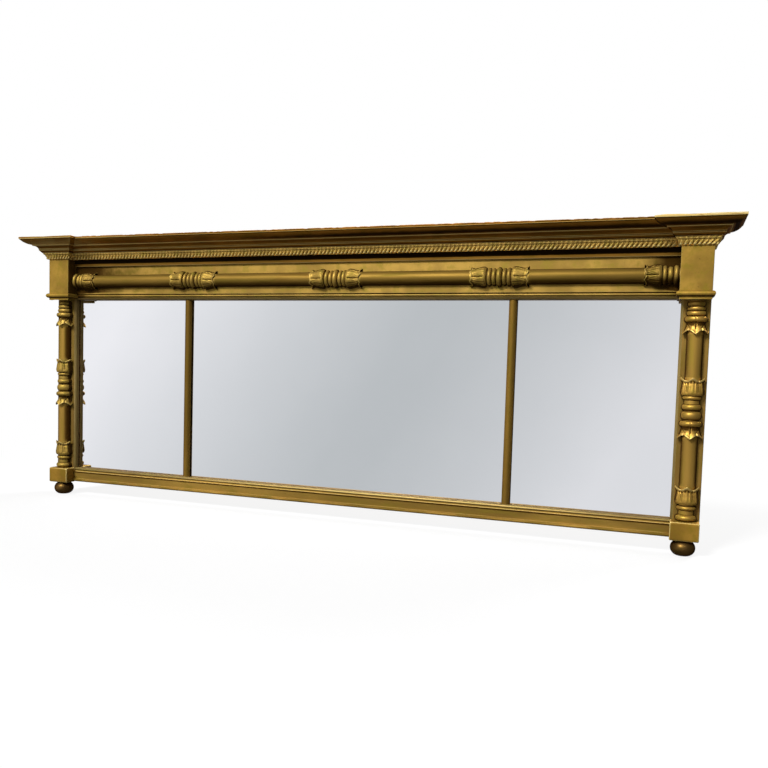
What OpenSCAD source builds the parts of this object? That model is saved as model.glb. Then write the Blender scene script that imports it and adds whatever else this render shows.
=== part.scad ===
// Gilt overmantel mirror: three glass plates in a pine frame, with a breakfront cornice,
// split-turned columns between corner blocks and plinths, and bun feet.
// The origin is the middle of the wall face on the back of the bottom rail.
// X runs along the frame, +Y runs back into the wall and +Z runs up.

/* [Sight] */
// Width of glass seen between the side slips
sight_w = 1329.2; // [1200:0.1:1500]
// Height of glass seen between the bottom and top slips
sight_h = 394.7; // [385:0.1:450]
// Width of the slip that frames the glass
slip_w = 4.2; // [3:0.1:6]
// Depth of the glass face behind the faces of the stiles
glass_set = 13; // [12:0.5:14]

/* [Frame] */
// Depth of the stiles and the bottom rail, wall face to front
frame_d = 34; // [33:0.5:40]
// Width of a stile's front, from its slip outwards
stile_w = 45.7; // [43:0.1:50]
// Height of the bottom rail
rail_h = 27.7; // [26:0.1:36]
// Height of the frieze board, from the top slip to the top of the frame
frieze_h = 131.3; // [131:0.1:145]
// Distance that the frieze stands in front of the stiles
frieze_stand = 2; // [1:0.5:4]
// Distance of the frieze board's back and the backboards' seat from the wall
back_set = 8; // [8:0.5:9]
// Height of the struck bead along the frieze's lower edge
frieze_bead = 3.8; // [3:0.1:5]
// Height of the half-round bead along the bottom rail
rail_bead = 6.4; // [5:0.1:8]
// Length of the tenons that are let into the stiles
tenon_l = 25; // [15:1:30]

/* [Glass] */
// Thickness of the mirror plates
plate_t = 4; // [3:0.5:5]
// Depth of the plates' edges behind the slips
plate_lap = 7.4; // [6.5:0.1:9]
// Gap between a plate's edge and the frame
plate_gap = 1; // [0.5:0.1:2]
// Distance of a glazing bar's middle from the middle of the mirror
bar_x = 362.8; // [330:0.1:400]
// Width of a glazing bar's rounded front
bar_w = 16.2; // [14:0.1:20]
// Thickness of the tongue between two plates
tongue_t = 8; // [6:0.5:9]
// Length of a glazing bar's tenons
bar_tenon_l = 8; // [5:0.5:9]
// Thickness of the backboards
board_t = 6; // [5:0.5:7]
// Overlap of the backboards on the frame
board_lap = 11.8; // [10:0.1:14]
// Gap between neighbouring backboards
board_gap = 1; // [0.5:0.5:2]
// Length of the wedge blocks behind the glass
wedge_l = 30; // [20:1:40]
// Width of the wedge blocks on the glass
wedge_w = 7; // [6:0.5:9]

/* [Cornice] */
// Height of the crown moulding
crown_h = 32; // [31:0.5:36]
// Reach of the crown beyond its base line
crown_reach = 46; // [43:0.5:50]
// Height of the top fillet
crown_fillet = 4.8; // [4:0.1:6]
// Reach of the fillet under the crown's cavetto
fascia_reach = 15.9; // [14:0.1:18]
// Height of the carved leaf strip
leaf_h = 14; // [13:0.5:17]
// Reach of the leaf strip's top edge
leaf_reach = 10.5; // [9.5:0.1:12]
// Distance of the crown's base line in front of the frieze
cornice_stand = 12.8; // [11:0.1:15]
// Radius of the cove under the leaf strip
cove_r = 8; // [6:0.5:9]
// Height of the fillet under the cove
cove_fillet = 6.4; // [5:0.1:8]

/* [Corner blocks] */
// Width of a corner block
block_w = 54; // [51:0.5:58]
// Distance of a corner block's face in front of the stile
block_d = 29.8; // [28:0.1:34]
// Depth of a corner block's end below the glass top
block_drop = 3; // [2:0.5:6]
// Height of the bead around a corner block
block_bead_h = 10.4; // [8:0.1:12]
// Height of the plain fillet under that bead
block_fillet = 4.6; // [3:0.1:5]

/* [Columns] */
// Distance of a side column's middle inwards from the middle of the stile's front
column_shift = 1; // [-1:0.1:2]
// Distance of the side columns' turning centre in front of the stile
column_out = 2; // [0:0.5:4]
// Radius of the plain shafts
shaft_r = 14.3; // [13:0.1:15]
// Radius of the leaf cups at their roots
cup_r = 20.3; // [19.5:0.1:21]
// Length of a side column's capital
capital_l = 59.7; // [55:0.1:66]
// Length of a side column's base
base_l = 62.9; // [58:0.1:68]
// Length of the double leaf collar on a side column
collar_l = 109; // [104:0.5:114]
// Height of that collar's middle above the plinth
collar_rise = 201.5; // [185:0.5:215]
// Height of the frieze column's middle above the frieze board's lower edge
frieze_column_z = 37; // [35:0.1:39]
// Length of the ringed end cups of the frieze column
frieze_end_l = 60.5; // [56:0.5:66]
// Length of the double leaf collars on the frieze column
frieze_collar_l = 113; // [105:0.5:120]
// Distance of the outer frieze collars from the middle of the mirror
frieze_collar_x = 338; // [320:0.5:360]

/* [Plinths and feet] */
// Width of a plinth block
plinth_w = 50; // [48:0.5:56]
// Height of a plinth block
plinth_h = 33.7; // [31:0.1:35]
// Distance of a plinth block's face in front of the stile
plinth_d = 27.3; // [26:0.1:32]
// Width of the bevel round a plinth's face
plinth_bevel = 2.6; // [1.5:0.1:4]
// Distance of the plinths' underside below the bottom rail
rail_lift = 1.6; // [0.5:0.1:4]
// Radius of a bun foot
foot_r = 21.5; // [20.5:0.1:23]
// Height of a bun foot
foot_h = 28.3; // [25:0.1:29]
// Distance of a foot's middle in front of the stile
foot_out = 7; // [6:0.5:10]
// Radius of a foot dowel
dowel_r = 4.5; // [3.5:0.1:5.5]
// Depth of a foot dowel in the foot and in the plinth
dowel_l = 18; // [14:0.5:22]

/* [Hangers] */
// Distance of a hanger from the middle of the mirror
hanger_x = 520; // [450:1:560]
// Height of the hangers' hinges below the top of the frame
hanger_drop = 46; // [42:0.5:70]
// Length of a hanger plate
hanger_l = 60; // [56:1:70]
// Height of a hanger plate
hanger_h = 14; // [12:0.5:18]
// Thickness of a hanger plate
hanger_t = 1.8; // [1.5:0.1:2.1]
// Radius of the ring's wire
wire_r = 1.5; // [1.2:0.1:1.6]
// Running clearance round the wire in its knuckle
knuckle_gap = 0.05; // [0.03:0.01:0.09]
// Wall of the knuckle round the wire
knuckle_wall = 1.2; // [1:0.1:1.3]
// Length of the knuckle
knuckle_l = 13; // [10:0.5:16]
// Half width of a hanger ring, to the middle of its wire
ring_r = 14; // [12:0.5:15]
// Length of a hanger ring's straight sides
ring_leg = 5; // [3:0.5:7]

/* [Screws and nails] */
// Radius of a backboard nail
nail_r = 1.1; // [0.8:0.1:1.4]
// Length of a backboard nail under its head
nail_l = 18; // [14:0.5:20]
// Thickness of a nail's head
nail_head = 0.8; // [0.4:0.1:0.9]
// Radius of a cornice screw
screw_r = 2; // [1.5:0.1:2.5]
// Length of a cornice screw
screw_l = 50; // [46:1:60]
// Radius of a hanger screw
pin_r = 1.5; // [1.2:0.1:1.8]
// Length of a hanger screw under its head
pin_l = 16; // [12:0.5:20]
// Thickness of a hanger screw's head
pin_head = 1.2; // [0.8:0.1:1.5]

/* [Hidden] */
$fn = 48;

// colours
gilt = [0.66, 0.53, 0.26];
gilt_dark = [0.50, 0.38, 0.15];
pine = [0.72, 0.56, 0.36];
silvered = [0.80, 0.81, 0.84];
brass = [0.72, 0.58, 0.30];
iron = [0.30, 0.29, 0.28];

// how far a cutting shape runs past the surface that it cuts
past = 1;

// widths, measured outwards from the middle
sight_x = sight_w / 2;
stile_x = sight_x + slip_w;
side_x = stile_x + stile_w;
rebate_x = sight_x + plate_lap + plate_gap;
board_x = rebate_x + board_lap;
block_x = side_x - block_w;
plinth_x = side_x - plinth_w;
column_x = stile_x + stile_w / 2 - column_shift;
foot_x = plinth_x + plinth_w / 2 - column_shift;

// heights; the bottom rail's wall face is centred on zero
rebate_lip = plate_lap + plate_gap - slip_w;
wall_strip = rail_h - rebate_lip - board_lap;
rail_z = -wall_strip / 2;
plinth_z = rail_z - rail_lift;
plinth_top = plinth_z + plinth_h;
foot_z = plinth_z - foot_h;
rail_top = rail_z + rail_h;
sight_z0 = rail_top + slip_w;
sight_z1 = sight_z0 + sight_h;
frieze_z = sight_z1 + slip_w;
top_z = frieze_z + frieze_h;
glass_z0 = rail_top - rebate_lip;
glass_z1 = frieze_z + rebate_lip;
board_z0 = glass_z0 - board_lap;
board_z1 = glass_z1 + board_lap;
block_z = sight_z1 - block_drop;
crown_z = top_z - crown_h;
leaf_z = crown_z - leaf_h;
cove_z = leaf_z - cove_r - cove_fillet;
collar_z = plinth_top + collar_rise;
frieze_column = frieze_z + frieze_column_z;
hanger_z = top_z - hanger_drop;

// depths in front of the wall
glass_d = frame_d - glass_set;
frieze_d = frame_d + frieze_stand;
bed_d = frieze_d + cornice_stand;
block_face = frame_d + block_d;
plinth_face = frame_d + plinth_d;
foot_d = frame_d + foot_out;
board_d = back_set - board_t;
knuckle_r = wire_r + knuckle_gap + knuckle_wall;
knuckle_sink = 0.6;
hinge_d = back_set - hanger_t - knuckle_r + knuckle_sink;

// rings of each turning, as [distance from its seat, width, swell beyond the shaft]
capital_rings = [[3.2, 5, 0.6], [12, 6, 1.9], [18.3, 6.2, 2.8]];
base_rings = [[1.2, 10.2, 4.8], [22.3, 5.9, 3.5]];
frieze_end_rings = [[3.5, 8, 5], [11, 7, 2.7], [17.5, 11.4, 5.5]];
collar_rings = [[4.6, 5.6, 2.9], [21.5, 6.7, 3.3], [32.7, 12.9, 3.8]];
frieze_collar_rings = [[3, 8, 3.9], [16, 8.5, 5], [24.5, 8.5, 5], [38, 8, 3.9]];
// lengths of the ringed parts, between the seat and the leaf cup or between two cups
capital_stack = 28.3;
base_stack = 33.2;
frieze_end_stack = 30.5;
collar_stack = 49.2;
frieze_collar_stack = 49;
neck_r = shaft_r + 0.4;

// shapes shared by several pieces

module block(x0, x1, y0, y1, z0, z1) {
    translate([x0, y0, z0]) cube([x1 - x0, y1 - y0, z1 - z0]);
}

// a section drawn as [y, z], run along X
module along_x(x0, x1) {
    translate([x0, 0, 0]) rotate([90, 0, 90]) linear_extrude(x1 - x0) children();
}

// a section drawn as [x, z], run along Y
module along_y(y0, y1) {
    translate([0, y1, 0]) rotate([90, 0, 0]) linear_extrude(y1 - y0) children();
}

// a plan drawn as [x, y], run up Z
module upright(z0, z1) {
    translate([0, 0, z0]) linear_extrude(z1 - z0) children();
}

module on_left() {
    mirror([1, 0, 0]) children();
}

module on_both_sides() {
    children();
    on_left() children();
}

// a section drawn as [reach, height], run round the three open sides of a right-hand
// corner block and mitred at both front corners; the two ends are depths from the wall,
// and the inner end is cut square or, with inner_mitre = 1, to meet a run along the frieze
module round_block(reach, outer_end, inner_end, inner_mitre) {
    far = reach + past;
    intersection() {
        along_x(block_x - far, side_x + far)
            translate([-block_face, 0]) mirror([1, 0]) children();
        upright(foot_z, top_z + past) polygon([
            [block_x, -block_face], [block_x - far, -block_face - far],
            [side_x + far, -block_face - far], [side_x, -block_face]
        ]);
    }
    intersection() {
        along_y(-block_face - far, -outer_end) translate([side_x, 0]) children();
        upright(foot_z, top_z + past) polygon([
            [side_x, -outer_end], [side_x, -block_face],
            [side_x + far, -block_face - far], [side_x + far, -outer_end]
        ]);
    }
    intersection() {
        along_y(-block_face - far, -inner_end)
            translate([block_x, 0]) mirror([1, 0]) children();
        upright(foot_z, top_z + past) polygon([
            [block_x, -block_face], [block_x - far, -block_face - far],
            [block_x - far, -inner_end - inner_mitre * far], [block_x, -inner_end]
        ]);
    }
}

// joints in the frame

module rail_tenon() {
    margin = 4;
    block(rebate_x - past, rebate_x + tenon_l, 2 - glass_d, -back_set - 2,
        rail_z + margin, glass_z0 - margin);
}

module frieze_tenon() {
    margin = 4;
    block(rebate_x - past, rebate_x + tenon_l, 2 - glass_d, -back_set - 2,
        board_z1 + margin, cove_z);
}

module bar_tenons() {
    x0 = bar_x - tongue_t / 2;
    x1 = bar_x + tongue_t / 2;
    cheek = 3;
    block(x0, x1, cheek - glass_d, -back_set - cheek, glass_z0 - bar_tenon_l, glass_z0 + past);
    block(x0, x1, cheek - glass_d, -back_set - cheek, glass_z1 - past, glass_z1 + bar_tenon_l);
}

// screws and nails: one shape each, cut from the wood and drawn as metal

module nail_places() {
    low = board_z0 + board_lap / 2;
    high = board_z1 - board_lap / 2;
    edge = rebate_x + board_lap / 2;
    from_bar = 60;
    on_both_sides() {
        for (x = [bar_x * 0.3, bar_x - from_bar, bar_x + from_bar, sight_x - from_bar])
            for (z = [low, high])
                translate([x, -board_d, z]) rotate([90, 0, 0]) children();
        for (share = [0.2, 0.5, 0.8])
            translate([edge, -board_d, sight_z0 + share * sight_h])
                rotate([90, 0, 0]) children();
    }
}

module nail_shanks() {
    nail_places() cylinder(h = nail_l, r = nail_r);
}

module cornice_screw_set() {
    head_h = 3;
    on_both_sides() for (share = [0.23, 0.68])
        translate([share * block_x, -back_set, crown_z + crown_h / 2]) rotate([90, 0, 0]) {
            cylinder(h = screw_l, r = screw_r);
            cylinder(h = head_h, r = screw_r * 2.2);
        }
}

module hanger_pin_places() {
    end_margin = 7;
    on_both_sides() for (side = [-1, 1])
        translate([hanger_x + side * (hanger_l / 2 - end_margin), hanger_t - back_set, hanger_z])
            rotate([90, 0, 0]) children();
}

module hanger_pins() {
    hanger_pin_places() cylinder(h = pin_l, r = pin_r);
}

// frame

module stile() {
    difference() {
        union() {
            block(stile_x, side_x, -frame_d, -glass_d, plinth_z, top_z);
            block(rebate_x, side_x, -glass_d, 0, plinth_z, top_z);
        }
        block(rebate_x - past, board_x, -back_set, past, board_z0, board_z1);
        rail_tenon();
        frieze_tenon();
        nail_shanks();
    }
}

module frieze_section() {
    quirk_h = 2.2;
    quirk_d = 2;
    bead_stand = 1.5;
    difference() {
        translate([-frieze_d, frieze_z]) square([frieze_d - back_set, frieze_h]);
        translate([-frieze_d - past, frieze_z - past])
            square([quirk_d + past, frieze_bead + 2 * quirk_h + past]);
        translate([-glass_d, frieze_z - past]) square([glass_d, rebate_lip + past]);
    }
    translate([frieze_bead / 2 - bead_stand - frieze_d, frieze_z + quirk_h + frieze_bead / 2])
        circle(d = frieze_bead);
}

module frieze_shape() {
    bead_end = block_x - block_bead_h / 2;
    difference() {
        union() {
            along_x(-stile_x, stile_x) frieze_section();
            block(-rebate_x, rebate_x, -glass_d, -back_set, glass_z1, top_z);
            on_both_sides() frieze_tenon();
        }
        on_both_sides() {
            block(bead_end, stile_x + past, -bed_d, -frieze_d, frieze_z - past, top_z + past);
            bar_tenons();
        }
        nail_shanks();
        cornice_screw_set();
        hanger_pins();
    }
}

module rail_section() {
    quirk_h = 4.7;
    quirk_d = 2.5;
    band_lean = 3;
    bead_stand = 1.6;
    translate([quirk_d - frame_d, rail_z]) square([frame_d - quirk_d, rail_h]);
    polygon([
        [quirk_d - frame_d, rail_z], [-frame_d, rail_z], [-frame_d, rail_z + rail_bead],
        [-frame_d - band_lean, rail_top - quirk_h], [quirk_d - frame_d, rail_top - quirk_h]
    ]);
    translate([-frame_d - bead_stand, rail_z + rail_bead / 2]) circle(d = rail_bead);
}

module rail_shape() {
    difference() {
        union() {
            intersection() {
                along_x(-stile_x, stile_x) rail_section();
                union() {
                    block(-stile_x, stile_x, -frame_d, -glass_d, rail_z, rail_top);
                    block(-plinth_x, plinth_x, -plinth_face, -glass_d, rail_z, rail_top);
                }
            }
            block(-rebate_x, rebate_x, -glass_d, -back_set, rail_z, glass_z0);
            block(-rebate_x, rebate_x, -back_set, 0, rail_z, rail_z + wall_strip);
            on_both_sides() rail_tenon();
        }
        on_both_sides() bar_tenons();
        nail_shanks();
    }
}

// slips: one section, drawn as [reach from the glass, depth], mitred at the corners

function slip_section() = [
    [0, glass_d], [0, frame_d - 4], [slip_w * 0.4, frame_d - 2], [slip_w, frame_d - 1],
    [slip_w, glass_d]
];

module side_slip() {
    intersection() {
        upright(rail_top, frieze_z) polygon([for (p = slip_section()) [sight_x + p[0], -p[1]]]);
        along_y(-frame_d, 0) polygon([
            [sight_x, sight_z0], [stile_x, rail_top], [stile_x, frieze_z], [sight_x, sight_z1]
        ]);
    }
}

// a level slip starts at height z and spreads up (1) or down (-1) from the glass
module level_slip(z, up) {
    intersection() {
        along_x(-stile_x, stile_x) polygon([for (p = slip_section()) [-p[1], z + up * p[0]]]);
        along_y(-frame_d, 0) polygon([
            [-sight_x, z], [-stile_x, z + up * slip_w], [stile_x, z + up * slip_w], [sight_x, z]
        ]);
    }
}

// glass and what holds it

module glazing_bar() {
    intersection() {
        translate([bar_x, -glass_d, sight_z0]) cylinder(h = sight_h, d = bar_w);
        block(bar_x - bar_w, bar_x + bar_w, -frame_d, -glass_d, sight_z0, sight_z1);
    }
    block(bar_x - tongue_t / 2, bar_x + tongue_t / 2, -glass_d, -back_set, glass_z0, glass_z1);
    bar_tenons();
}

module mirror_plate(x0, x1) {
    block(x0, x1, -glass_d, plate_t - glass_d, glass_z0 + plate_gap, glass_z1 - plate_gap);
}

module backboard(x0, x1) {
    edge_gap = 0.5;
    difference() {
        block(x0, x1, -back_set, -board_d, board_z0 + edge_gap, board_z1 - edge_gap);
        nail_shanks();
    }
}

// a triangular block in the corner between the glass and the wall of the rebate
module wedge() {
    board_clearance = 0.7;
    rotate([90, 0, 90]) linear_extrude(wedge_l, center = true) polygon([
        [0, 0], [glass_d - plate_t - back_set - board_clearance, 0], [0, wedge_w]
    ]);
}

module wedge_set() {
    glass_back = plate_t - glass_d;
    outer_w = sight_x - bar_x;
    on_both_sides() {
        for (x = [bar_x * 0.25, bar_x * 0.8, bar_x + outer_w * 0.25, bar_x + outer_w * 0.75]) {
            translate([x, glass_back, glass_z0]) wedge();
            translate([x, glass_back, glass_z1]) mirror([0, 0, 1]) wedge();
        }
        for (share = [0.25, 0.75]) {
            z = sight_z0 + share * sight_h;
            translate([rebate_x, glass_back, z]) rotate([0, -90, 0]) wedge();
            translate([bar_x + tongue_t / 2, glass_back, z]) rotate([0, 90, 0]) wedge();
            translate([bar_x - tongue_t / 2, glass_back, z]) rotate([0, -90, 0]) wedge();
        }
    }
}

// cornice sections, drawn as [reach, height] from the base line

module crown_section(back) {
    bed_h = 1;
    bevel_top = 5.6;
    cavetto_z = 6;
    cavetto_r = 8.6;
    cavetto_x = fascia_reach + cavetto_r + 0.1;
    line_z = cavetto_z + cavetto_r;
    line_h = 1.8;
    line_x = cavetto_x + 1.3;
    ovolo_z = line_z + line_h;
    fillet_z = crown_h - crown_fillet;
    // the ovolo lies flat: a shallow arc from the line out to the top fillet
    bow = 2.4;
    span = [crown_reach - 1 - line_x, fillet_z - ovolo_z];
    ovolo_r = (span * span / 4 + bow * bow) / (2 * bow);
    middle = [line_x, ovolo_z] + span / 2;
    centre = middle + (ovolo_r - bow) * [-span[1], span[0]] / norm(span);
    difference() {
        polygon([
            [-back, 0], [leaf_reach + 1, 0], [leaf_reach + 1, bed_h],
            [fascia_reach, bevel_top], [fascia_reach, cavetto_z + 1.4],
            [cavetto_x, cavetto_z + 1.4], [cavetto_x, line_z], [line_x, line_z],
            [line_x, ovolo_z], [-back, ovolo_z]
        ]);
        translate([cavetto_x, cavetto_z]) circle(cavetto_r);
    }
    intersection() {
        translate(centre) circle(ovolo_r, $fn = 160);
        translate([line_x - past, ovolo_z]) square([span[0] + past, span[1] + past]);
    }
    translate([-back, ovolo_z]) square([back + line_x, span[1]]);
    translate([-back, fillet_z]) square([back + crown_reach, crown_fillet]);
}

module leaf_section() {
    polygon([
        [0, 0], [leaf_reach - 8.5, 0], [leaf_reach - 6.5, 3], [leaf_reach - 2.5, leaf_h - 4.5],
        [leaf_reach - 0.6, leaf_h - 3], [leaf_reach, leaf_h - 1.2], [leaf_reach, leaf_h],
        [0, leaf_h]
    ]);
}

// the plan of a main run, mitred to the returns of the caps at both ends
module main_run_plan(reach) {
    far = reach + past;
    polygon([
        [-block_x, -frieze_d], [block_x, -frieze_d], [block_x, -bed_d],
        [block_x - far, -bed_d - far], [far - block_x, -bed_d - far], [-block_x, -bed_d]
    ]);
}

module main_cornice_shape() {
    difference() {
        intersection() {
            along_x(-block_x, block_x)
                translate([-bed_d, crown_z]) mirror([1, 0]) crown_section(cornice_stand);
            upright(crown_z - past, top_z + past) main_run_plan(crown_reach);
        }
        cornice_screw_set();
    }
}

module main_leaf_shape() {
    intersection() {
        along_x(-block_x, block_x) translate([-bed_d, leaf_z]) mirror([1, 0]) leaf_section();
        upright(leaf_z - past, crown_z + past) main_run_plan(leaf_reach);
    }
}

module cove_shape() {
    along_x(-block_x, block_x) difference() {
        union() {
            translate([-bed_d, leaf_z - cove_r]) square([cornice_stand, leaf_h + cove_r]);
            translate([cove_r - bed_d, cove_z])
                square([cornice_stand - cove_r, cove_fillet + past]);
        }
        translate([-bed_d, leaf_z - cove_r]) circle(cove_r);
    }
}

module cornice_cap() {
    round_block(crown_reach, 0, bed_d, 1) translate([0, crown_z]) crown_section(0);
}

module cap_leaf_strip() {
    round_block(leaf_reach, 0, bed_d, 1) translate([0, leaf_z]) leaf_section();
}

module corner_block() {
    difference() {
        block(block_x, side_x, -block_face, -frame_d, block_z, top_z);
        block(block_x - past, stile_x, -frieze_d, past - frame_d, block_z - past, top_z + past);
    }
}

module block_bead() {
    round_block(block_bead_h / 2, frame_d, frieze_d, 0) intersection() {
        translate([0, block_z + block_fillet + block_bead_h / 2]) circle(d = block_bead_h);
        translate([0, block_z]) square([block_bead_h, block_fillet + 2 * block_bead_h]);
    }
}

// turnings, drawn as [radius, run]

module roll(run, w, r) {
    translate([0, run]) square([r - w / 2, w]);
    translate([r - w / 2, run + w / 2]) circle(d = w);
}

// a leaf cup, from its round root to its flared lip
module cup_section(run, l) {
    root_w = 8;
    lip_r = cup_r - 1.5;
    waist_r = cup_r - 3.6;
    flare_l = 0.35 * l;
    flare = lip_r - waist_r;
    flare_r = (flare_l * flare_l + flare * flare) / (2 * flare);
    roll(run, root_w, cup_r);
    difference() {
        translate([0, run + root_w / 2]) polygon([
            [0, 0], [cup_r, 0], [waist_r, l - flare_l - root_w / 2],
            [lip_r, l - flare_l - root_w / 2], [lip_r, l - root_w / 2], [0, l - root_w / 2]
        ]);
        translate([waist_r + flare_r, run + l - flare_l]) circle(flare_r, $fn = 96);
    }
}

module ring_section(rings, stack) {
    square([neck_r, stack]);
    for (ring = rings) roll(ring[0], ring[1], shaft_r + ring[2]);
}

// rings from the seat, then one leaf cup
module end_section(rings, stack, l) {
    ring_section(rings, stack);
    cup_section(stack, l - stack);
}

// two leaf cups, root to root with rings between them
module collar_section(rings, stack, l) {
    cup_l = (l - stack) / 2;
    translate([0, cup_l]) mirror([0, 1]) cup_section(0, cup_l);
    translate([0, cup_l]) ring_section(rings, stack);
    cup_section(cup_l + stack, cup_l);
}

// a half turning, stilted so that its axis lies out in front of its seat
module split_turning(out) {
    rotate([0, 0, 180]) rotate_extrude(angle = 180) children();
    if (out > 0) translate([0, out, 0]) rotate([90, 0, 0]) linear_extrude(out) {
        children();
        mirror([1, 0]) children();
    }
}

module on_stile(z) {
    translate([column_x, -frame_d - column_out, z]) children();
}

module on_frieze(x) {
    translate([x, -frieze_d, frieze_column]) rotate([0, 90, 0]) children();
}

module column_shaft(z0, z1) {
    on_stile(z0) split_turning(column_out) square([shaft_r, z1 - z0]);
}

module upper_shaft() {
    column_shaft(collar_z + collar_l / 2, block_z - capital_l);
}

module lower_shaft() {
    column_shaft(plinth_top + base_l, collar_z - collar_l / 2);
}

module column_capital() {
    on_stile(block_z) mirror([0, 0, 1]) split_turning(column_out)
        end_section(capital_rings, capital_stack, capital_l);
}

module column_base() {
    on_stile(plinth_top) split_turning(column_out)
        end_section(base_rings, base_stack, base_l);
}

module column_collar() {
    on_stile(collar_z + collar_l / 2) mirror([0, 0, 1]) split_turning(column_out)
        collar_section(collar_rings, collar_stack, collar_l);
}

module frieze_shaft(x0, x1) {
    on_frieze(x0) split_turning(0) square([shaft_r, x1 - x0]);
}

module inner_frieze_shaft() {
    frieze_shaft(frieze_collar_l / 2, frieze_collar_x - frieze_collar_l / 2);
}

module outer_frieze_shaft() {
    frieze_shaft(frieze_collar_x + frieze_collar_l / 2, block_x - frieze_end_l);
}

module frieze_collar(x) {
    on_frieze(x - frieze_collar_l / 2) split_turning(0)
        collar_section(frieze_collar_rings, frieze_collar_stack, frieze_collar_l);
}

module frieze_end_cup() {
    on_frieze(block_x) mirror([0, 0, 1]) split_turning(0)
        end_section(frieze_end_rings, frieze_end_stack, frieze_end_l);
}

// plinths and feet

module foot_dowel() {
    translate([foot_x, -foot_d, plinth_z - dowel_l]) cylinder(h = 2 * dowel_l, r = dowel_r);
}

module plinth() {
    b = plinth_bevel;
    difference() {
        intersection() {
            upright(plinth_z, plinth_top) polygon([
                [plinth_x, -frame_d], [side_x, -frame_d], [side_x, b - plinth_face],
                [side_x - b, -plinth_face], [plinth_x + b, -plinth_face],
                [plinth_x, b - plinth_face]
            ]);
            along_x(plinth_x, side_x) polygon([
                [-frame_d, plinth_z], [-frame_d, plinth_top], [b - plinth_face, plinth_top],
                [-plinth_face, plinth_top - b], [-plinth_face, plinth_z + b],
                [b - plinth_face, plinth_z]
            ]);
        }
        foot_dowel();
    }
}

module bun_foot() {
    difference() {
        translate([foot_x, -foot_d, foot_z]) rotate_extrude() intersection() {
            roll(0, foot_h, foot_r);
            square([foot_r, foot_h]);
        }
        foot_dowel();
    }
}

// hangers

module hanger_plate() {
    difference() {
        union() {
            block(hanger_x - hanger_l / 2, hanger_x + hanger_l / 2, -back_set,
                hanger_t - back_set, hanger_z - hanger_h / 2, hanger_z + hanger_h / 2);
            translate([hanger_x - knuckle_l / 2, -hinge_d, hanger_z]) rotate([0, 90, 0])
                cylinder(h = knuckle_l, r = knuckle_r);
        }
        translate([hanger_x - knuckle_l / 2 - past, -hinge_d, hanger_z]) rotate([0, 90, 0])
            cylinder(h = knuckle_l + 2 * past, r = wire_r + knuckle_gap);
        hanger_pins();
    }
}

module hanger_ring() {
    translate([hanger_x, -hinge_d, hanger_z]) {
        translate([-ring_r, 0, 0]) rotate([0, 90, 0]) cylinder(h = 2 * ring_r, r = wire_r);
        for (side = [-1, 1]) translate([side * ring_r, 0, 0]) {
            sphere(wire_r);
            translate([0, 0, -ring_leg]) cylinder(h = ring_leg, r = wire_r);
        }
        translate([0, 0, -ring_leg]) rotate([-90, 0, 0])
            rotate_extrude(angle = 180) translate([ring_r, 0]) circle(wire_r);
    }
}

// the pieces

module left_stile() { color(gilt) on_left() stile(); }
module right_stile() { color(gilt) stile(); }
module frieze_board() { color(gilt) frieze_shape(); }
module bottom_rail() { color(gilt) rail_shape(); }
module left_slip() { color(gilt_dark) on_left() side_slip(); }
module right_slip() { color(gilt_dark) side_slip(); }
module top_slip() { color(gilt_dark) level_slip(sight_z1, 1); }
module bottom_slip() { color(gilt_dark) level_slip(sight_z0, -1); }

module left_glazing_bar() { color(gilt_dark) on_left() glazing_bar(); }
module right_glazing_bar() { color(gilt_dark) glazing_bar(); }

module left_mirror_plate() {
    color(silvered) on_left()
        mirror_plate(bar_x + tongue_t / 2 + plate_gap / 2, rebate_x - plate_gap);
}

module centre_mirror_plate() {
    half = bar_x - tongue_t / 2 - plate_gap / 2;
    color(silvered) mirror_plate(-half, half);
}

module right_mirror_plate() {
    color(silvered) mirror_plate(bar_x + tongue_t / 2 + plate_gap / 2, rebate_x - plate_gap);
}

module left_backboard() {
    color(pine) on_left() backboard(bar_x + board_gap / 2, board_x - board_gap);
}

module centre_backboard() {
    color(pine) backboard(board_gap / 2 - bar_x, bar_x - board_gap / 2);
}

module right_backboard() {
    color(pine) backboard(bar_x + board_gap / 2, board_x - board_gap);
}

module glass_wedges() { color(pine) wedge_set(); }

module backboard_nails() {
    color(iron) {
        nail_shanks();
        nail_places() mirror([0, 0, 1]) cylinder(h = nail_head, r = nail_r * 2.2);
    }
}

module main_cornice() { color(gilt) main_cornice_shape(); }
module frieze_cove() { color(gilt) cove_shape(); }
module main_leaf_strip() { color(gilt_dark) main_leaf_shape(); }
module left_cornice_cap() { color(gilt) on_left() cornice_cap(); }
module right_cornice_cap() { color(gilt) cornice_cap(); }
module left_leaf_strip() { color(gilt_dark) on_left() cap_leaf_strip(); }
module right_leaf_strip() { color(gilt_dark) cap_leaf_strip(); }
module left_corner_block() { color(gilt) on_left() corner_block(); }
module right_corner_block() { color(gilt) corner_block(); }
module left_block_bead() { color(gilt) on_left() block_bead(); }
module right_block_bead() { color(gilt) block_bead(); }

module frieze_shaft_outer_left() { color(gilt) on_left() outer_frieze_shaft(); }
module frieze_shaft_inner_left() { color(gilt) on_left() inner_frieze_shaft(); }
module frieze_shaft_inner_right() { color(gilt) inner_frieze_shaft(); }
module frieze_shaft_outer_right() { color(gilt) outer_frieze_shaft(); }
module frieze_collar_left() { color(gilt_dark) on_left() frieze_collar(frieze_collar_x); }
module frieze_collar_centre() { color(gilt_dark) frieze_collar(0); }
module frieze_collar_right() { color(gilt_dark) frieze_collar(frieze_collar_x); }
module frieze_end_cup_left() { color(gilt_dark) on_left() frieze_end_cup(); }
module frieze_end_cup_right() { color(gilt_dark) frieze_end_cup(); }

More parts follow.
